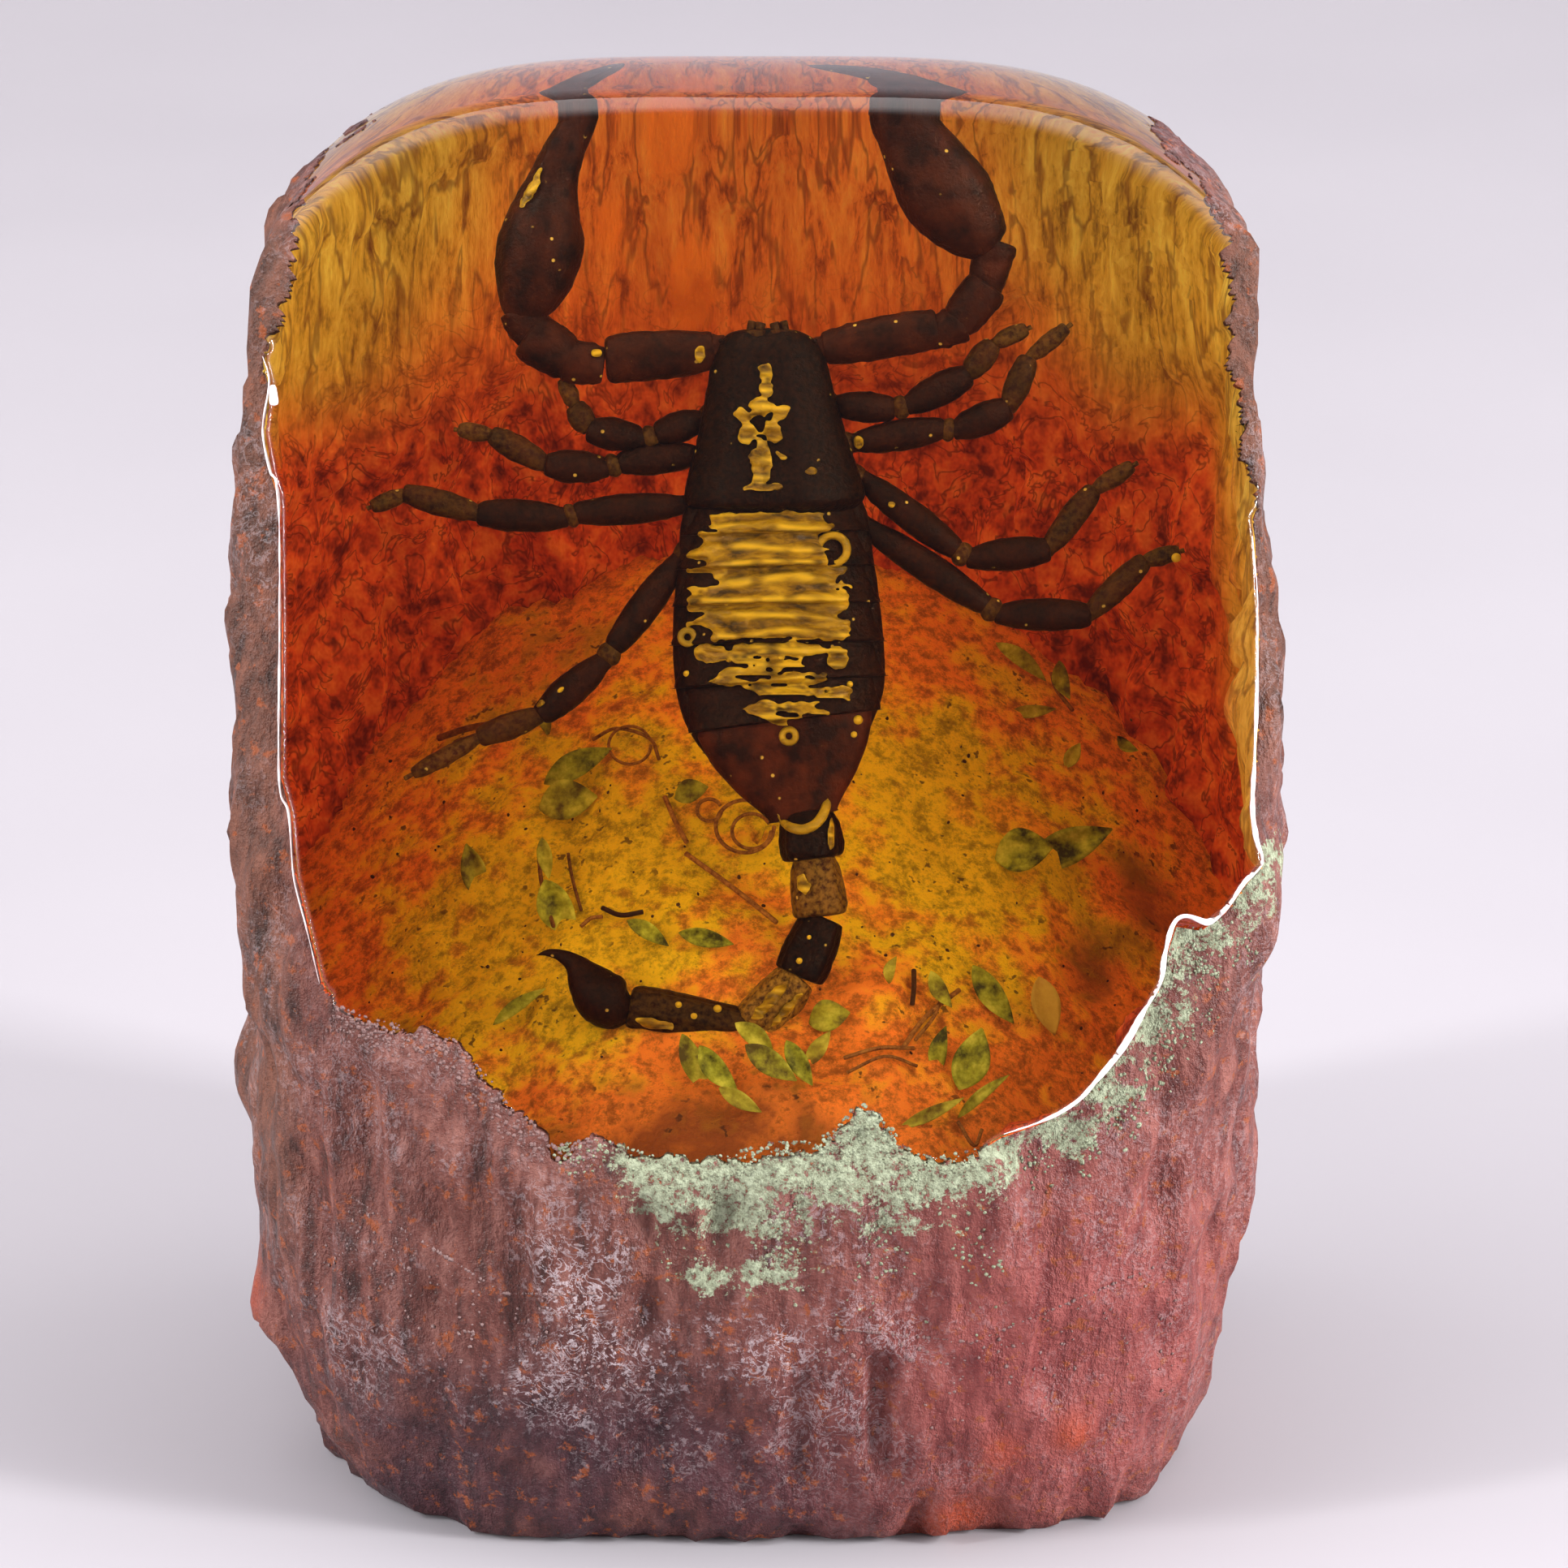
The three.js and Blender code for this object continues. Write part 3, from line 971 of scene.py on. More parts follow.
def loft(rows, sides=18, steps=4, keels=0.0, granules=0.03):
    """A closed solid through rows of place, half width and half height."""
    rows = through(rows, steps)
    places = rows[:, :3]
    radii = np.maximum(rows[:, 3:5], LEAST_RADIUS)
    ahead = unit(np.gradient(places, axis=0))
    side = unit(np.cross(ahead, FACE_NORMAL))
    rise = np.cross(side, ahead)
    flutes = 1 + keels * np.cos(KEELS * turns(sides))
    out = (side[:, None] * (radii[:, :1] * np.cos(turns(sides)) * flutes)[:, :, None]
           + rise[:, None] * (radii[:, 1:] * np.sin(turns(sides)) * flutes)[:, :, None])
    points = (places[:, None] + out).reshape(-1, 3)
    out = out.reshape(-1, 3)
    size = np.linalg.norm(out, axis=1, keepdims=True)
    rough = granules * ease(0.1, 0.4, size) * noise(points / GRANULE)[:, None]
    points = points + out / np.maximum(size, LEAST_RADIUS) * rough
    last = (len(rows) - 1) * sides
    ends = [list(range(sides))[::-1], list(range(last, last + sides))]
    return points, quads_between(len(rows), sides, around=True) + ends


def rows_at(spots, flat, lift=0.0):
    """Loft rows from pixels with half widths in pixels; flat is height over width."""
    spots = np.array(spots, float)
    widths = spots[:, 2] * PIXEL
    return np.column_stack([in_resin(spots[:, :2], lift), widths, widths * flat])


def joint(start, end, half, flat=0.85, lift=0.0, profile=JOINT_PROFILE, **options):
    """One joint of a limb between two pixels."""
    start, end = np.array(start, float), np.array(end, float)
    spots = [(*(start + (end - start) * share), half * width) for share, width in profile]
    return loft(rows_at(spots, flat, lift), **options)


def joined(name, parts, material, slot, **marks):
    """One piece from many closed parts. Marks are attributes with one value, or one for each part."""
    points, faces, start = [], [], 0
    for part_points, part_faces in parts:
        points.append(part_points)
        faces += [[corner + start for corner in face] for face in part_faces]
        start += len(part_points)
    piece = mesh_object(name, np.concatenate(points), faces, material)
    for mark, values in marks.items():
        values = values if isinstance(values, list) else [values] * len(points)
        store(piece, mark, np.concatenate([np.full(len(p), v) for p, v in zip(points, values)]))
    return keep_piece(piece)


def bead(pixel, radius, lift, flat=0.6):
    """A small dome or bubble, with its radius in pixels."""
    x, y = pixel
    rings = [(share, math.sqrt(max(1 - share ** 2, 0))) for share in (-1, -0.85, -0.5, 0, 0.5, 0.85, 1)]
    spots = [(x, y + share * radius, radius * width) for share, width in rings]
    return loft(rows_at(spots, flat, lift), sides=12, steps=2, granules=0.0)


# ---------------------------------------------------------------- crumbs, and the painted highlight along the lip, on the outside

# Crumbs of crust scattered near lines or in a patch, as line, count, spread in pixels, shift of the
# spread, greenness and paleness
CRUMBS = [(CRUST_EDGE[:6], 520, 11, 10, 0.0, 0.7), (CRUST_EDGE[4:], 620, 11, 8, 1.0, 0.0),
          (RIGHT_LIP[:11], 520, 16, 46, 0.9, 0.0), (CRUST_EDGE[6:], 520, 45, 110, 1.0, 0.0),
          ([(430, 1480), (620, 1600), (820, 1600)], 420, 60, 20, 0.0, 1.0),
          ([(1000, 1640), (1200, 1660), (1440, 1560)], 300, 60, 0, 0.0, 0.8)]
CRUMB_RADII = (0.04, 0.15)
CRUMB_SIDES = 7
CRUMB_LEAST_SHIFT = -6
# Painted highlights as pale beads along the lips and on one bright spot, with the bead's half width in
# mm and its shift into the window in pixels
LIP_HIGHLIGHT_SPOT = [(336, 474), (337, 487), (338, 500)]
LIP_HIGHLIGHT_LINES = [(LEFT_LIP, 0.08, 2), (RIGHT_LIP, 0.145, 7), (LIP_HIGHLIGHT_SPOT, 0.26, 0)]


def make_crumbs(surface, material):
    """Small pointed crumbs, each with its foot sunk in the surface that is seen at its pixel."""
    points, faces, green, pale = [], [], [], []
    for line, count, spread_px, shift, greenness, paleness in CRUMBS:
        line = np.array(line, float)
        for _ in range(count):
            start = chance.randrange(len(line) - 1)
            run = line[start + 1] - line[start]
            side = np.array([-run[1], run[0]]) / np.linalg.norm(run)
            along = run * chance.random()
            pixel = line[start] + along + side * max(chance.gauss(shift, spread_px), CRUMB_LEAST_SHIFT)
            hit, normal, _, _ = surface.ray_cast(Vector(EYE), Vector(sight_lines(pixel[None])[0]))
            if hit is None:
                continue
            normal = np.array(normal)
            across = unit(np.cross(normal, UP))
            along = np.cross(normal, across)
            radius = chance.uniform(*CRUMB_RADII)
            first, hit = len(points), np.array(hit)
            for turn in turns(CRUMB_SIDES):
                reach = radius * chance.uniform(0.6, 1.3)
                points.append(hit + across * reach * math.cos(turn) + along * reach * math.sin(turn))
            points += [hit + normal * radius * 0.45, hit - normal * radius * 0.3]
            top, foot = first + CRUMB_SIDES, first + CRUMB_SIDES + 1
            for i in range(CRUMB_SIDES):
                here, there = first + i, first + (i + 1) % CRUMB_SIDES
                faces += [[here, there, top], [there, here, foot]]
            green += [greenness] * (CRUMB_SIDES + 2)
            pale += [paleness] * (CRUMB_SIDES + 2)
    piece = mesh_object("crust_crumbs", points, faces, material)
    store(piece, "crust", green)
    store(piece, "pale", pale)
    keep_piece(piece)


def make_lip_highlight(surface):
    """A painted highlight: a fine pale glossy bead along the rolled edge where the polished face meets
    the rind.
    """
    material, add, shader = new_material("lip_painted_highlight", 0.8)
    milky = add.mottle(add.millimetres(), 1.4, 3.0, 0.6)
    tint = add.ramp(milky, [(0.35, (0.72, 0.50, 0.50)), (0.6, (0.95, 0.90, 0.93))])
    add.connect(shader, Base_Color=tint, Roughness=0.12)
    parts = []
    for line, half, shift in LIP_HIGHLIGHT_LINES:
        rows = through([(x, y) for x, y in line], 14)
        ahead = unit(np.gradient(rows, axis=0))
        rows += shift * ahead[:, ::-1] * (1, -1)
        hits = [surface.ray_cast(Vector(EYE), Vector(way))[:2] for way in sight_lines(rows)]
        rows = np.array([(*(hit + normal * 0.02), 0, 0) for hit, normal in hits if hit is not None])
        width = half * (1 + 0.7 * noise(rows[:, :3] / 2.2) + 0.5 * noise(rows[:, :3] / 0.9))
        width *= np.sin(np.linspace(0, math.pi, len(rows))) ** 0.3
        rows[:, 3:] = np.maximum(width, 0.025)[:, None] * (1.0, 0.7)
        parts.append(loft(rows, sides=10, steps=1, granules=0.0))
    joined("lip_highlight_bead", parts, material, "weathered_rind")


outside = surface_of(CENTRE + directions * np.maximum(body, rind)[:, None], faces)
make_crumbs(outside, bpy.data.materials["weathered_rind"])
make_lip_highlight(outside)

# ---------------------------------------------------------------- scorpion

# Down the back, as centre x, y and half width in photo pixels
CARAPACE = [(946, 404, 0), (946, 408, 38), (946, 422, 58), (947, 450, 69), (949, 500, 79),
            (951, 550, 91), (953, 596, 104), (954, 622, 103), (954, 632, 60), (954, 634, 0)]
BACK_EDGES = [(954, 618, 98), (955, 655, 105), (956, 697, 112), (957, 742, 118), (958, 790, 121),
              (961, 838, 120), (967, 886, 110), (989, 1000, 40)]
FLANK = [(954, 600, 0), (954, 610, 96), (956, 700, 116), (959, 800, 124), (965, 870, 118),
         (975, 930, 88), (988, 990, 44), (990, 1004, 0)]
EYES = (941, 505)
EYES_HALF = 79
CARAPACE_HIGH = 0.44
BACK_HIGH = 0.36
# A back plate's rows as share of its length, of its half width and of its height
PLATE_ROWS = [(-0.14, 0.0, 0.0), (-0.12, 0.88, 0.70), (0.2, 0.95, 0.90), (0.6, 0.98, 0.96),
              (0.94, 1.03, 1.08), (1.03, 1.03, 1.08), (1.06, 0.97, 0.82), (1.07, 0.0, 0.0)]
TAIL = [((995, 1002), (1002, 1056), 36), ((1003, 1060), (1011, 1126), 31),
        ((1014, 1134), (985, 1200), 30), ((981, 1206), (930, 1264), 29), ((932, 1272), (782, 1242), 27)]
TELSON = [(783, 1245, 0), (778, 1244, 12), (760, 1240, 29), (740, 1227, 33), (722, 1206, 24),
          (708, 1188, 13), (690, 1177, 7), (674, 1174, 4), (661, 1177, 0)]
LEFT_HAND = [(642, 396, 0), (643, 388, 24), (655, 350, 44), (666, 302, 51), (672, 260, 41),
             (684, 215, 28), (699, 178, 22)]
LEFT_FINGERS = [(699, 182, 21), (722, 142, 18), (744, 106, 15), (757, 78, 9), (764, 64, 0)]
RIGHT_HAND = [(1230, 306, 0), (1222, 300, 26), (1196, 276, 44), (1168, 242, 54), (1142, 205, 48),
              (1116, 166, 35), (1094, 139, 27)]
RIGHT_FINGERS = [(1096, 141, 25), (1066, 118, 21), (1034, 102, 17), (1008, 90, 9), (996, 84, 0)]
# Arms as joints between pixels with half widths; legs as joints from the body out
LEFT_ARM = [((906, 436), (872, 430), 19), ((874, 433), (752, 442), 30), ((742, 450), (696, 444), 27),
            ((704, 446), (652, 412), 31), ((660, 418), (641, 380), 27)]
RIGHT_ARM = [((992, 436), (1022, 428), 17), ((1020, 428), (1150, 405), 26),
             ((1150, 412), (1186, 398), 23), ((1180, 400), (1216, 352), 27),
             ((1210, 362), (1229, 300), 24), ((1224, 290), (1200, 313), 9)]
LEG_WIDTHS = [17, 19, 15, 20, 16, 11]
LEFT_LEGS = [
    [(905, 500), (866, 516), (810, 535), (793, 541), (726, 530), (708, 500), (694, 468)],
    [(900, 560), (862, 560), (765, 570), (748, 577), (674, 573), (607, 536), (566, 530)],
    [(893, 615), (845, 622), (712, 632), (697, 638), (592, 633), (500, 608), (459, 624)],
    [(890, 640), (838, 688), (758, 796), (744, 814), (668, 880), (592, 908), (512, 952)]]
RIGHT_LEGS = [
    [(985, 490), (1028, 499), (1100, 504), (1118, 500), (1192, 463), (1223, 424), (1264, 406)],
    [(990, 550), (1050, 546), (1160, 528), (1176, 531), (1242, 504), (1267, 442), (1313, 405)],
    [(1000, 570), (1062, 590), (1176, 676), (1194, 688), (1290, 678), (1346, 605), (1394, 575)],
    [(1000, 620), (1066, 648), (1212, 744), (1230, 757), (1340, 758), (1409, 692), (1452, 680)]]


def make_carapace(material):
    """The front shield, with an eye mound, a furrow, two keels and a notched front edge."""
    points, faces = loft(rows_at(CARAPACE, CARAPACE_HIGH, 0.3), sides=56, steps=9, granules=0.05)
    tubercle = in_resin([EYES], 0.3)[0]
    away = points - tubercle
    upper = ease(0.3, 1.2, away @ FACE_NORMAL)
    across, along = away @ RIGHT, away @ FACE_UP
    rise = 0.55 * np.exp(-(across / 0.7) ** 2 - (along / 0.8) ** 2)
    furrow = -0.30 * np.exp(-(across / 0.3) ** 2) * ease(-0.8, -1.6, along)
    keels = 0.16 * np.exp(-((np.abs(across) - 1.9 + 0.12 * along) / 0.4) ** 2)
    notch = -0.5 * np.exp(-(across / 0.8) ** 2 - ((along - 4.7) / 0.5) ** 2)
    points = points + FACE_NORMAL * ((rise + furrow + keels + notch) * upper)[:, None]
    crown = EYES_HALF * CARAPACE_HIGH * PIXEL + 0.3
    eyes = [bead((EYES[0] + side, EYES[1] - 2), 5, crown + 0.35) for side in (-7, 7)]
    side_eyes = [bead((946 + side * (58 - 4 * i), 420 + 9 * i), 3, 0.9)
                 for side in (-1, 1) for i in range(3)]
    parts = [(points, faces), *eyes, *side_eyes]
    joined("carapace", parts, material, "scorpion_shell", brown=0, amber=0)
    return points, faces


def make_jaws(material):
    parts = []
    for side in (-1, 1):
        x = 946 + 17 * side
        parts.append(joint((x, 446), (x - 1 * side, 408), 17, 0.8, 0.5))
        parts.append(joint((x - 5 * side, 412), (x - 9 * side, 398), 6, 0.9, 0.6, sides=10))
        parts.append(joint((x + 6 * side, 412), (x + 2 * side, 396), 5, 0.9, 0.6, sides=10))
    joined("chelicerae", parts, material, "scorpion_shell", brown=0.5, amber=0.1)


def make_back(material):
    """Seven overlapping back plates on a soft flank."""
    parts = [loft(rows_at(FLANK, 0.24, -0.2), sides=40, steps=6, granules=0.03)]
    for (x0, y0, half0), (x1, y1, half1) in zip(BACK_EDGES, BACK_EDGES[1:]):
        taper = 1.6 if half1 < 50 else 1.0
        spots, heights = [], []
        for share, width, high in PLATE_ROWS:
            along = min(max(share, 0), 1)
            half = half0 + (half1 - half0) * along ** taper
            spots.append((x0 + (x1 - x0) * share, y0 + (y1 - y0) * share, half * width))
            heights.append(BACK_HIGH * PIXEL * (half0 + (half1 - half0) * along) * high)
        rows = rows_at(spots, BACK_HIGH)
        rows[:, 4] = heights
        parts.append(loft(rows, sides=48, steps=4, granules=0.035))
    brown = [0.1] * 7 + [0.85]
    joined("back_plates", parts, material, "scorpion_shell", brown=brown, amber=0)
    return parts


def make_tail(material):
    parts = [joint(start, end, half, 0.9, lift=-0.2, sides=32, steps=5, keels=0.06, granules=0.05)
             for start, end, half in TAIL]
    joined("tail_segments", parts, material, "scorpion_shell", brown=[0, 0.7, 0, 0.6, 0.1],
           amber=[0, 0.5, 0, 0.85, 0.1])
    sting = loft(rows_at(TELSON, 0.85), sides=28, steps=5, granules=0.03)
    joined("telson", [sting], material, "scorpion_shell", brown=0.1, amber=0)
    return parts + [sting]


def split_fingers(spots, side):
    """A fixed and a movable finger lying side by side."""
    fingers = []
    for share in (-1, 1):
        row = [(x + share * side[0] * half * 0.45, y + share * side[1] * half * 0.45, half * 0.62)
               for x, y, half in spots]
        fingers.append(loft(rows_at(row, 0.9), sides=16, steps=5, granules=0.03))
    return fingers


def make_arm(name, arm, hand, fingers, across, material):
    parts = [joint(start, end, half, 0.75, sides=24, steps=5, granules=0.09)
             for start, end, half in arm]
    x, y, _ = hand[-1]
    closed_hand = hand + [(2 * x - hand[-2][0], 2 * y - hand[-2][1], 0)]
    parts.append(loft(rows_at(closed_hand, 0.72, 0.2), sides=40, steps=6, keels=0.02, granules=0.05))
    parts += split_fingers(fingers, across)
    joined(name, parts, material, "scorpion_shell", brown=0.5, amber=0)
    return parts


def make_leg(name, spots, material):
    parts = []
    for start, end, half in zip(spots, spots[1:], LEG_WIDTHS):
        parts.append(joint(start, end, half, 0.8, -0.5, LEG_PROFILE, sides=16, steps=4, granules=0.05))
    before, last = np.array(spots[-2]), np.array(spots[-1])
    claw_tip = 2 * last - (before + 5 * last) / 6
    parts.append(joint(last, claw_tip, 3, 0.8, lift=-0.5, sides=8, steps=2))
    joined(name, parts, material, "scorpion_shell", brown=[0.3, 0.2, 0.4, 0.2, 0.4, 0.6, 0.8],
           amber=[0.1, 0, 0.15, 0, 0.1, 0.2, 0.3])
    return parts


def make_scorpion():
    material = shell_material()
    parts = [make_carapace(material), *make_back(material), *make_tail(material)]
    make_jaws(material)
    parts += make_arm("left_pedipalp", LEFT_ARM, LEFT_HAND, LEFT_FINGERS, (0.85, 0.52), material)
    parts += make_arm("right_pedipalp", RIGHT_ARM, RIGHT_HAND, RIGHT_FINGERS, (0.5, -0.86), material)
    for side, legs in (("left", LEFT_LEGS), ("right", RIGHT_LEGS)):
        for number, spots in enumerate(legs, 1):
            parts += make_leg(f"{side}_leg_{number}", spots, material)
    points = np.concatenate([points for points, _ in parts])
    starts = np.cumsum([0] + [len(points) for points, _ in parts])
    faces = [[corner + int(start) for corner in face]
             for start, (_, faces) in zip(starts, parts) for face in faces]
    return surface_of(points, faces)


specimen = make_scorpion()

# ---------------------------------------------------------------- trapped air

# Ellipses of air as centre x, y, half width, half height and tilt in degrees; the hole shows the shell
FIGURE_AIR = [(943, 455, 11, 12, 0), (944, 478, 9, 20, 0), (938, 502, 17, 17, 0),
              (916, 512, 15, 9, 30), (962, 508, 15, 9, -30), (922, 534, 12, 16, 20),
              (952, 532, 12, 16, -20), (938, 570, 15, 34, 0), (938, 600, 29, 6, 0),
              (1000, 580, 9, 6, 0), (962, 562, 11, 5, 35)]
FIGURE_HOLE = (936, 521, 6, 9, 0)
LIMB_AIR = [(664, 868, 10, 5, -30), (690, 850, 7, 4, -30), (655, 232, 7, 27, 28), (736, 434, 9, 7, 0),
            (862, 436, 9, 11, 0), (950, 1233, 9, 34, 42), (968, 1245, 6, 30, 42), (806, 1262, 26, 7, 8),
            (1024, 1030, 5, 20, 0), (990, 1092, 14, 10, 60), (1098, 622, 7, 6, 0), (1058, 546, 7, 9, 0)]
LIMB_AIR_REACH = 42
# Bands of air across the back as left, right, top and bottom, and their folds, in photo pixels
BACK_AIR = [(868, 1024, 636, 662), (852, 1030, 656, 684), (846, 1008, 678, 708), (868, 1038, 700, 728),
            (850, 1042, 722, 754), (858, 1042, 746, 772), (884, 1044, 764, 794), (904, 1008, 798, 838),
            (898, 1022, 832, 850), (924, 1052, 852, 864), (912, 1012, 870, 884), (932, 992, 889, 903)]
FOLD_SPACING = 21.0
LOBES = [(862, 684, 20, 8, 0), (860, 748, 18, 9, 10), (878, 806, 26, 14, 0), (1032, 808, 14, 16, 0),
         (1034, 850, 22, 7, 0), (888, 840, 20, 5, 0), (940, 876, 18, 9, 0), (988, 874, 22, 9, 0)]
RINGS = [((1026, 677), 17, 5), ((972, 907), 8, 4), ((847, 785), 8, 4)]
BUBBLES = [((1057, 887), 6), ((1449, 687), 6), ((893, 690), 4), ((895, 742), 4), ((962, 809), 5),
           ((898, 812), 4), ((985, 1184), 4), ((997, 1155), 3), ((836, 1238), 4), ((855, 1252), 4),
           ((884, 1243), 5), ((846, 830), 4), ((1052, 905), 4), ((1047, 843), 4)]
CRESCENT = [(958, 1003, 0), (964, 1012, 4), (976, 1020, 6), (990, 1022, 6), (1004, 1016, 6),
            (1014, 1004, 6), (1019, 990, 5), (1020, 984, 0)]
AIR_STEP = 2
AIR_ABOVE = 0.07
AIR_BELOW = 0.02
FILM_BREAK = 0.8
BACK_MIDDLE, BACK_BOW, BACK_HALF = 955, 7, 100
HOOP_TURNS, HOOP_SIDES = 24, 8


def pixel_noise(pixels, width, height, shift=0.0):
    """Noise over the photo's frame, with features of a width and height in pixels."""
    return noise(np.column_stack([pixels / (width, height), np.zeros(len(pixels))]) + shift)


def in_ellipses(pixels, ellipses):
    """A half on the edge of any ellipse, and more inside it."""
    found = np.zeros(len(pixels))
    for *middle, half_width, half_height, tilt in ellipses:
        turn = math.radians(tilt)
        x, y = (pixels - np.array(middle)).T
        across = (x * math.cos(turn) + y * math.sin(turn)) / half_width
        along = (y * math.cos(turn) - x * math.sin(turn)) / half_height
        found = np.maximum(found, 1.5 - np.sqrt(across ** 2 + along ** 2))
    return found


def in_bands(pixels):
    """A half on the edge of the bands and lobes of air on the back, and more inside them."""
    x, y = pixels.T
    found = np.zeros(len(pixels))
    shift = 0.8 * pixel_noise(pixels, 60.0, 11.0, 3.0)
    bow = BACK_BOW * (1 - ((x - BACK_MIDDLE) / BACK_HALF) ** 2)
    sound = 0.6 - 0.4 * ease(785, 800, y)
    for left, right, top, bottom in BACK_AIR:
        high = np.minimum(y + bow - top, bottom - y - bow) / 8
        wide = np.minimum(x - left, right - x) / 30 + shift
        found = np.maximum(found, np.minimum(np.minimum(high, wide), sound) + 0.5)
    return np.maximum(found, in_ellipses(pixels, LOBES))


def fold_height(pixels):
    """Height of the film's long folds, between 0 in a crease and 1 on a crest."""
    x, y = pixels.T
    bowed = y - BACK_BOW * ((x - BACK_MIDDLE) / BACK_HALF) ** 2
    drift = 2.2 * pixel_noise(pixels, 70.0, 26.0)
    return 0.5 + 0.5 * np.cos(2 * math.pi * bowed / FOLD_SPACING + drift)


def eased_rim(places, faces):
    """Places with the stepped outline of a sheet of cells drawn out into smooth lines."""
    starts, ends = np.array(open_edges(faces)).T
    for _ in range(3):
        total, count = places.copy(), np.ones(len(places))
        for here, there in ((starts, ends), (ends, starts)):
            np.add.at(total, here, places[there])
            np.add.at(count, here, 1)
        places = total / count[:, None]
    return places


def film(corner, opposite, amount):
    """A thin sheet of air draped on the specimen where amount, less some raggedness, is over a half."""
    columns = np.arange(corner[0], opposite[0], AIR_STEP)
    rows = np.arange(corner[1], opposite[1], AIR_STEP)
    pixels = np.array([(x, y) for y in rows for x in columns], float)
    ragged = 0.24 * pixel_noise(pixels, 16.0, 5.0) + 0.20 * pixel_noise(pixels, 6.0, 3.0, 9.0)
    places, found = seen_on(specimen, pixels, AIR_ABOVE)
    level = amount(pixels) + ragged
    shown = found & (level > 0.5)
    faces = [cell for cell in turned(quads_between(len(rows), len(columns)))
             if shown[cell].all() and np.ptp(places[cell] @ FACE_NORMAL) < FILM_BREAK]
    faces, (places, pixels, level) = only_used(faces, places, pixels, level)
    places = eased_rim(places, faces)
    folds = fold_height(pixels)
    # Painted highlight: bright gold on the crests of the folds and near the film's edges
    shine = np.maximum(0.9 * folds ** 3, 0.8 * ease(0.9, 0.55, level))
    shine = shine * ease(-0.7, 0.3, noise(places / 0.9))
    ripple = 0.08 * pixel_noise(pixels, 14.0, 4.0)
    ripple = ripple + 0.10 * ease(0.5, 0.95, level) + 0.16 * folds
    outer = places + FACE_NORMAL * (AIR_ABOVE + ripple)[:, None]
    inner = places - FACE_NORMAL * AIR_BELOW
    return closed_shell(outer, inner, faces), np.concatenate([shine, shine])


def ring(pixel, radius, thick):
    """A round bubble's rim, as a closed hoop on the specimen, bright with a painted highlight."""
    centre, _ = seen_on(specimen, [pixel], AIR_ABOVE)
    points = []
    for turn in turns(HOOP_TURNS):
        way = math.cos(turn) * RIGHT + math.sin(turn) * FACE_UP
        for part in turns(HOOP_SIDES):
            across = radius + thick * math.cos(part)
            points.append(centre[0] + (way * across + FACE_NORMAL * thick * math.sin(part)) * PIXEL)
    return np.array(points), quads_between(HOOP_TURNS, HOOP_SIDES, around=True, closed=True)


def crescent():
    """A curved sliver of air where the back meets the tail."""
    rows = rows_at(CRESCENT, 0.8)
    rows[:, :3], _ = seen_on(specimen, [spot[:2] for spot in CRESCENT], 0.1)
    return loft(rows, sides=12, granules=0.02)


def make_air():
    figure = film((895, 435), (1015, 612), lambda p: in_ellipses(p, FIGURE_AIR)
                  - 2 * (in_ellipses(p, [FIGURE_HOLE]) > 0.5))
    bands = film((845, 628), (1052, 905), in_bands)
    patches = []
    for ellipse in LIMB_AIR:
        corners = [[value + side * LIMB_AIR_REACH for value in ellipse[:2]] for side in (-1, 1)]
        patches.append(film(*corners, lambda p, ellipse=ellipse: in_ellipses(p, [ellipse])))
    rings = [ring(*values) for values in RINGS] + [crescent()]
    bubbles = []
    for pixel, radius in BUBBLES:
        place, _ = seen_on(specimen, [pixel])
        lift = (place[0] - CENTRE) @ FACE_NORMAL - FACE_CROWN + SPECIMEN_DEPTH
        bubbles.append(bead(pixel, radius, lift, 0.8))
    films = [figure, bands, *patches]
    parts = [part for part, _ in films] + rings + bubbles
    # Painted highlights: faint on the rings and the crescent, strong on the bubbles
    shine = [rim for _, rim in films] + [0.3] * len(rings) + [0.8] * len(bubbles)
    joined("air_films", parts, air_material(), "trapped_air", shine=shine)


make_air()

# ---------------------------------------------------------------- leaves and plant debris

# Leaves as centre x, y, length and half width in photo pixels, tilt in degrees from straight right
# anticlockwise, and dryness
LEAVES = [
    (712, 970, 90, 16, 28, 0.0), (700, 1008, 70, 24, 12, 0.1), (580, 1078, 62, 15, 100, 0.1),
    (690, 1128, 78, 21, -62, 0.0), (672, 1082, 50, 9, -80, 0.1), (798, 1166, 58, 10, -32, 0.0),
    (870, 1168, 66, 11, -12, 0.0), (640, 1262, 76, 8, 35, 0.0), (852, 992, 42, 14, 20, 0.1),
    (856, 1320, 78, 13, -68, 0.1), (885, 1340, 70, 14, -50, 0.0), (930, 1300, 60, 12, -40, 0.1),
    (950, 1335, 74, 15, -35, 0.1), (985, 1330, 62, 12, -60, 0.0), (912, 1372, 58, 10, -30, 0.2),
    (1022, 1268, 50, 19, 15, 0.1), (1008, 1300, 50, 10, 55, 0.2), (1224, 1238, 84, 15, -55, 0.0),
    (1290, 1258, 72, 17, -75, 0.8), (1160, 1240, 50, 10, -60, 0.1), (1160, 1302, 60, 11, 80, 0.0),
    (1196, 1330, 78, 22, 70, 0.0), (1148, 1384, 84, 8, 25, 0.2), (1212, 1376, 80, 7, 40, 0.1),
    (1262, 1075, 70, 26, 12, 0.0), (1318, 1058, 110, 22, 24, 0.0), (1258, 826, 74, 10, -38, 0.1),
    (1312, 858, 48, 10, -75, 0.1), (1272, 884, 56, 8, 5, 0.2), (1390, 935, 30, 7, -35, 0.0),
    (1322, 940, 34, 9, 60, 0.2), (1100, 1218, 34, 7, 75, 0.2), (668, 905, 30, 7, -60, 0.1)]
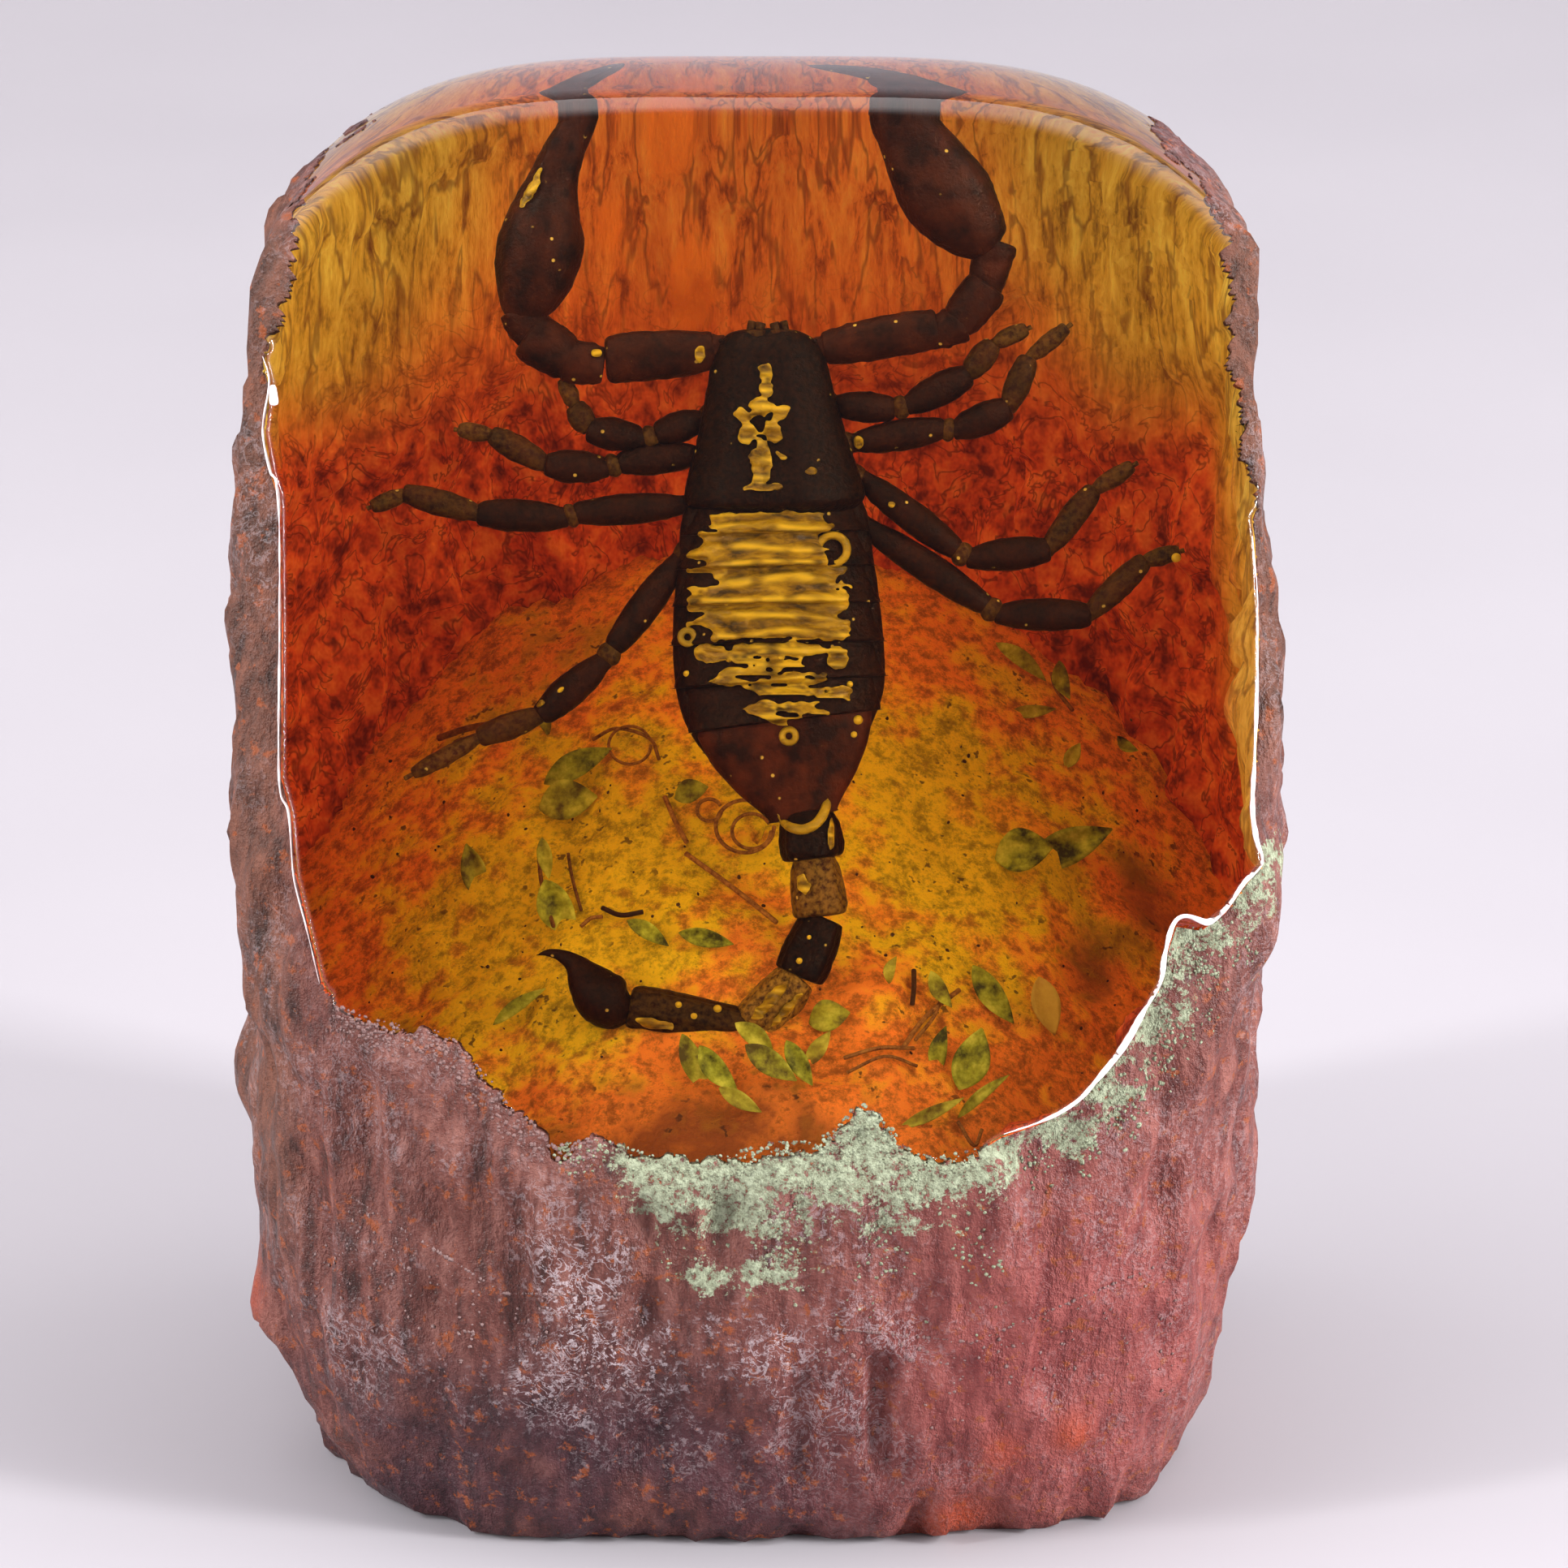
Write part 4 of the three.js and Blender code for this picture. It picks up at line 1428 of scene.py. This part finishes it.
# Stems as pixels along them and a half width; dark marks the darker twigs
STEMS = [
    ([(819, 990), (832, 1020), (846, 1046)], 3.0, 0.0),
    ([(845, 1060), (900, 1100), (957, 1145)], 3.0, 0.0),
    ([(742, 1127), (765, 1136), (792, 1132)], 3.0, 1.0),
    ([(716, 1150), (728, 1140), (742, 1138)], 2.5, 0.2),
    ([(1112, 1300), (1140, 1262), (1182, 1228)], 3.0, 0.1),
    ([(1128, 1290), (1150, 1262), (1160, 1238)], 2.2, 0.2),
    ([(1040, 1312), (1082, 1300), (1126, 1300)], 2.5, 0.3),
    ([(1044, 1330), (1090, 1310), (1130, 1322)], 2.0, 0.3),
    ([(664, 1062), (668, 1100), (682, 1150)], 2.5, 0.4),
    ([(730, 920), (760, 906), (800, 918), (812, 944)], 2.2, 0.3),
    ([(700, 1060), (705, 1090), (716, 1130)], 2.0, 0.6),
    ([(1126, 1204), (1126, 1226), (1124, 1246)], 3.0, 0.9),
    ([(905, 975), (940, 990), (962, 1000)], 2.5, 0.2),
    ([(1296, 838), (1302, 858), (1322, 884)], 2.5, 0.3),
    ([(1180, 1390), (1200, 1420), (1210, 1400)], 2.2, 0.2),
    ([(540, 918), (580, 905), (640, 896)], 4.0, 0.5)]
COILS = [((918, 1030), 36, 2.4), ((926, 1036), 24, 2.2), ((776, 930), 26, 1.8), ((874, 1010), 15, 2.2)]
COIL_TURN, COIL_POINTS = 1.85 * math.pi, 14
SPECK_COUNT = 110
LEAF_ROWS, LEAF_COLUMNS = 15, 7
LEAF_THICK = 0.07


def on_bed(pixels, above):
    """The places seen at pixels on the bed, raised above it."""
    places, found = seen_on(bed_surface, pixels, 0.0)
    places = np.where(found[:, None], places, in_resin(pixels, -5.0))
    return places + np.array([0, -0.3, 1.0]) * above


def leaf(x, y, length, half_width, tilt, curl, lift):
    """A pointed blade with a folded midrib, lying near the bed and facing the window."""
    turn = math.radians(tilt)
    centre = on_bed([(x, y)], lift)[0]
    ahead = math.cos(turn) * RIGHT + math.sin(turn) * FACE_UP
    side = math.cos(turn) * FACE_UP - math.sin(turn) * RIGHT
    outer = []
    for t in np.linspace(0, 1, LEAF_ROWS):
        width = half_width * max(math.sin(math.pi * t ** 0.85), 0.03) ** 0.85
        for s in np.linspace(-1, 1, LEAF_COLUMNS):
            bow = curl * (t - 0.5) ** 2 * 2.4 - 0.9 * abs(s) * width * PIXEL * 0.5
            spot = ahead * (t - 0.5) * length + side * (s * width + curl * 6 * math.sin(math.pi * t))
            outer.append(centre + spot * PIXEL - FACE_NORMAL * bow)
    outer = np.array(outer)
    outer = outer + FACE_NORMAL * (0.05 * noise(outer / 0.8 + x))[:, None]
    faces = turned(quads_between(LEAF_ROWS, LEAF_COLUMNS))
    return closed_shell(outer, outer - FACE_NORMAL * LEAF_THICK, faces)


def stem(pixels, half_width, lift=0.5):
    places = on_bed(pixels, lift)
    radii = [half_width * PIXEL] * len(places)
    rows = np.column_stack([places, radii, radii])
    return loft(rows, sides=8, steps=6, granules=0.02)


def coil(pixel, radius, half_width):
    """A stem curled into most of a circle."""
    x, y = pixel
    pixels = [(x + radius * math.cos(turn), y + radius * math.sin(turn) * 0.9)
              for turn in np.linspace(0, COIL_TURN, COIL_POINTS)]
    return stem(pixels, half_width, 0.7)


def speck(pixel, radius):
    place = on_bed([pixel], 0.05)[0]
    lean = np.array([chance.uniform(-tilt, tilt) for tilt in (1, 1, 0.3)])
    tip = place + lean * radius * 2
    rows = [(*(place + (tip - place) * share), radius * width, radius * width * 0.8)
            for share, width in ((0, 0), (0.2, 0.8), (0.6, 1.0), (1.0, 0))]
    return loft(rows, sides=7, steps=2, granules=0.0)


def make_debris():
    leaves, dryness = [], []
    for *shape, dry in LEAVES:
        curl, lift = chance.uniform(-0.8, 0.8), chance.uniform(0.4, 1.6)
        leaves.append(leaf(*shape, curl, lift))
        dryness.append(dry)
    joined("dried_leaves", leaves, leaf_material(), "dried_leaf", dry=dryness)
    parts = [stem(pixels, half_width) for pixels, half_width, _ in STEMS]
    darkness = [dark for _, _, dark in STEMS]
    parts += [coil(*values) for values in COILS]
    darkness += [0.25] * len(COILS)
    for _ in range(SPECK_COUNT):
        pixel = (chance.uniform(430, 1440), chance.uniform(880, 1340))
        parts.append(speck(pixel, chance.uniform(0.05, 0.14)))
        darkness.append(0.9)
    joined("twigs_and_specks", parts, debris_material(), "plant_debris", dark=darkness)


make_debris()

# ---------------------------------------------------------------- stage, light

DIM_TOWARDS = (0.0, -0.766, 0.643)
DIM_FROM, DIM_TO = math.radians(52), math.radians(27)
WORLD_COLOR, DIM_COLOR = (1.0, 0.97, 0.99, 1), (0.04, 0.035, 0.04, 1)
WORLD_LOW, WORLD_HIGH = 1.58, 3.45
BEND_STEPS = 12
LIGHTS_AIM = Vector((0, 0, 0.04))


def make_floor():
    """A pale floor that bends up into a wall behind the block; its measures are in metres."""
    half_width, front, bend, radius, top = 1.2, -0.9, 0.35, 0.25, 1.2
    profile = [(front, 0.0)]
    for step in range(BEND_STEPS + 1):
        turn = math.radians(90 * step / BEND_STEPS)
        profile.append((bend + radius * math.sin(turn), radius * (1 - math.cos(turn))))
    profile.append((bend + radius, top))
    points = [(side * half_width / MM, y / MM, z / MM) for y, z in profile for side in (-1, 1)]
    material, add, shader = new_material("pale_floor", 0.2)
    tint = add.ramp(add.mottle(add.millimetres(), 60.0, 2.0, 0.5),
                    [(0.3, (0.385, 0.367, 0.395)), (0.7, (0.405, 0.387, 0.415))])
    add.connect(shader, Base_Color=tint, Roughness=0.7)
    mesh_object("floor", points, quads_between(len(profile), 2), material)


def area_light(name, place, size, power):
    data = bpy.data.lights.new(name, "AREA")
    data.shape = "RECTANGLE"
    data.size, data.size_y = size
    data.energy = power
    light = put_in_scene(name, data)
    light.location = place
    light.rotation_mode = "QUATERNION"
    light.rotation_quaternion = (Vector(place) - LIGHTS_AIM).to_track_quat("Z", "Y")


def make_world():
    """Pale light from all round, stronger from above, with a dim wall in front of the polished face."""
    world = bpy.data.worlds.new("studio")
    bpy.context.scene.world = world
    add = Shade(world)
    heading = add.node("TexCoord")["Generated"]
    facing = add.node("VectorMath", {0: heading, 1: DIM_TOWARDS}, operation="DOT_PRODUCT")["Value"]
    dim = add.spread(facing, math.cos(DIM_FROM), math.cos(DIM_TO))
    height = add.node("SeparateXYZ", {"Vector": heading})["Z"]
    add.connect(add.tree.nodes["Background"], Color=add.blend(dim, WORLD_COLOR, DIM_COLOR),
                Strength=add.spread(height, 0.3, 0.9, WORLD_LOW, WORLD_HIGH))


def make_light_paths():
    paths = bpy.context.scene.cycles
    paths.max_bounces = 6
    paths.diffuse_bounces = 2
    paths.glossy_bounces = 2
    paths.transmission_bounces = 5


make_floor()
make_world()
make_light_paths()
area_light("left_strip", (-0.60, -0.25, 0.30), (0.05, 0.7), 5.0)
area_light("right_strip", (0.60, -0.25, 0.25), (0.08, 0.6), 8.0)
bpy.context.scene.view_settings.view_transform = "Standard"
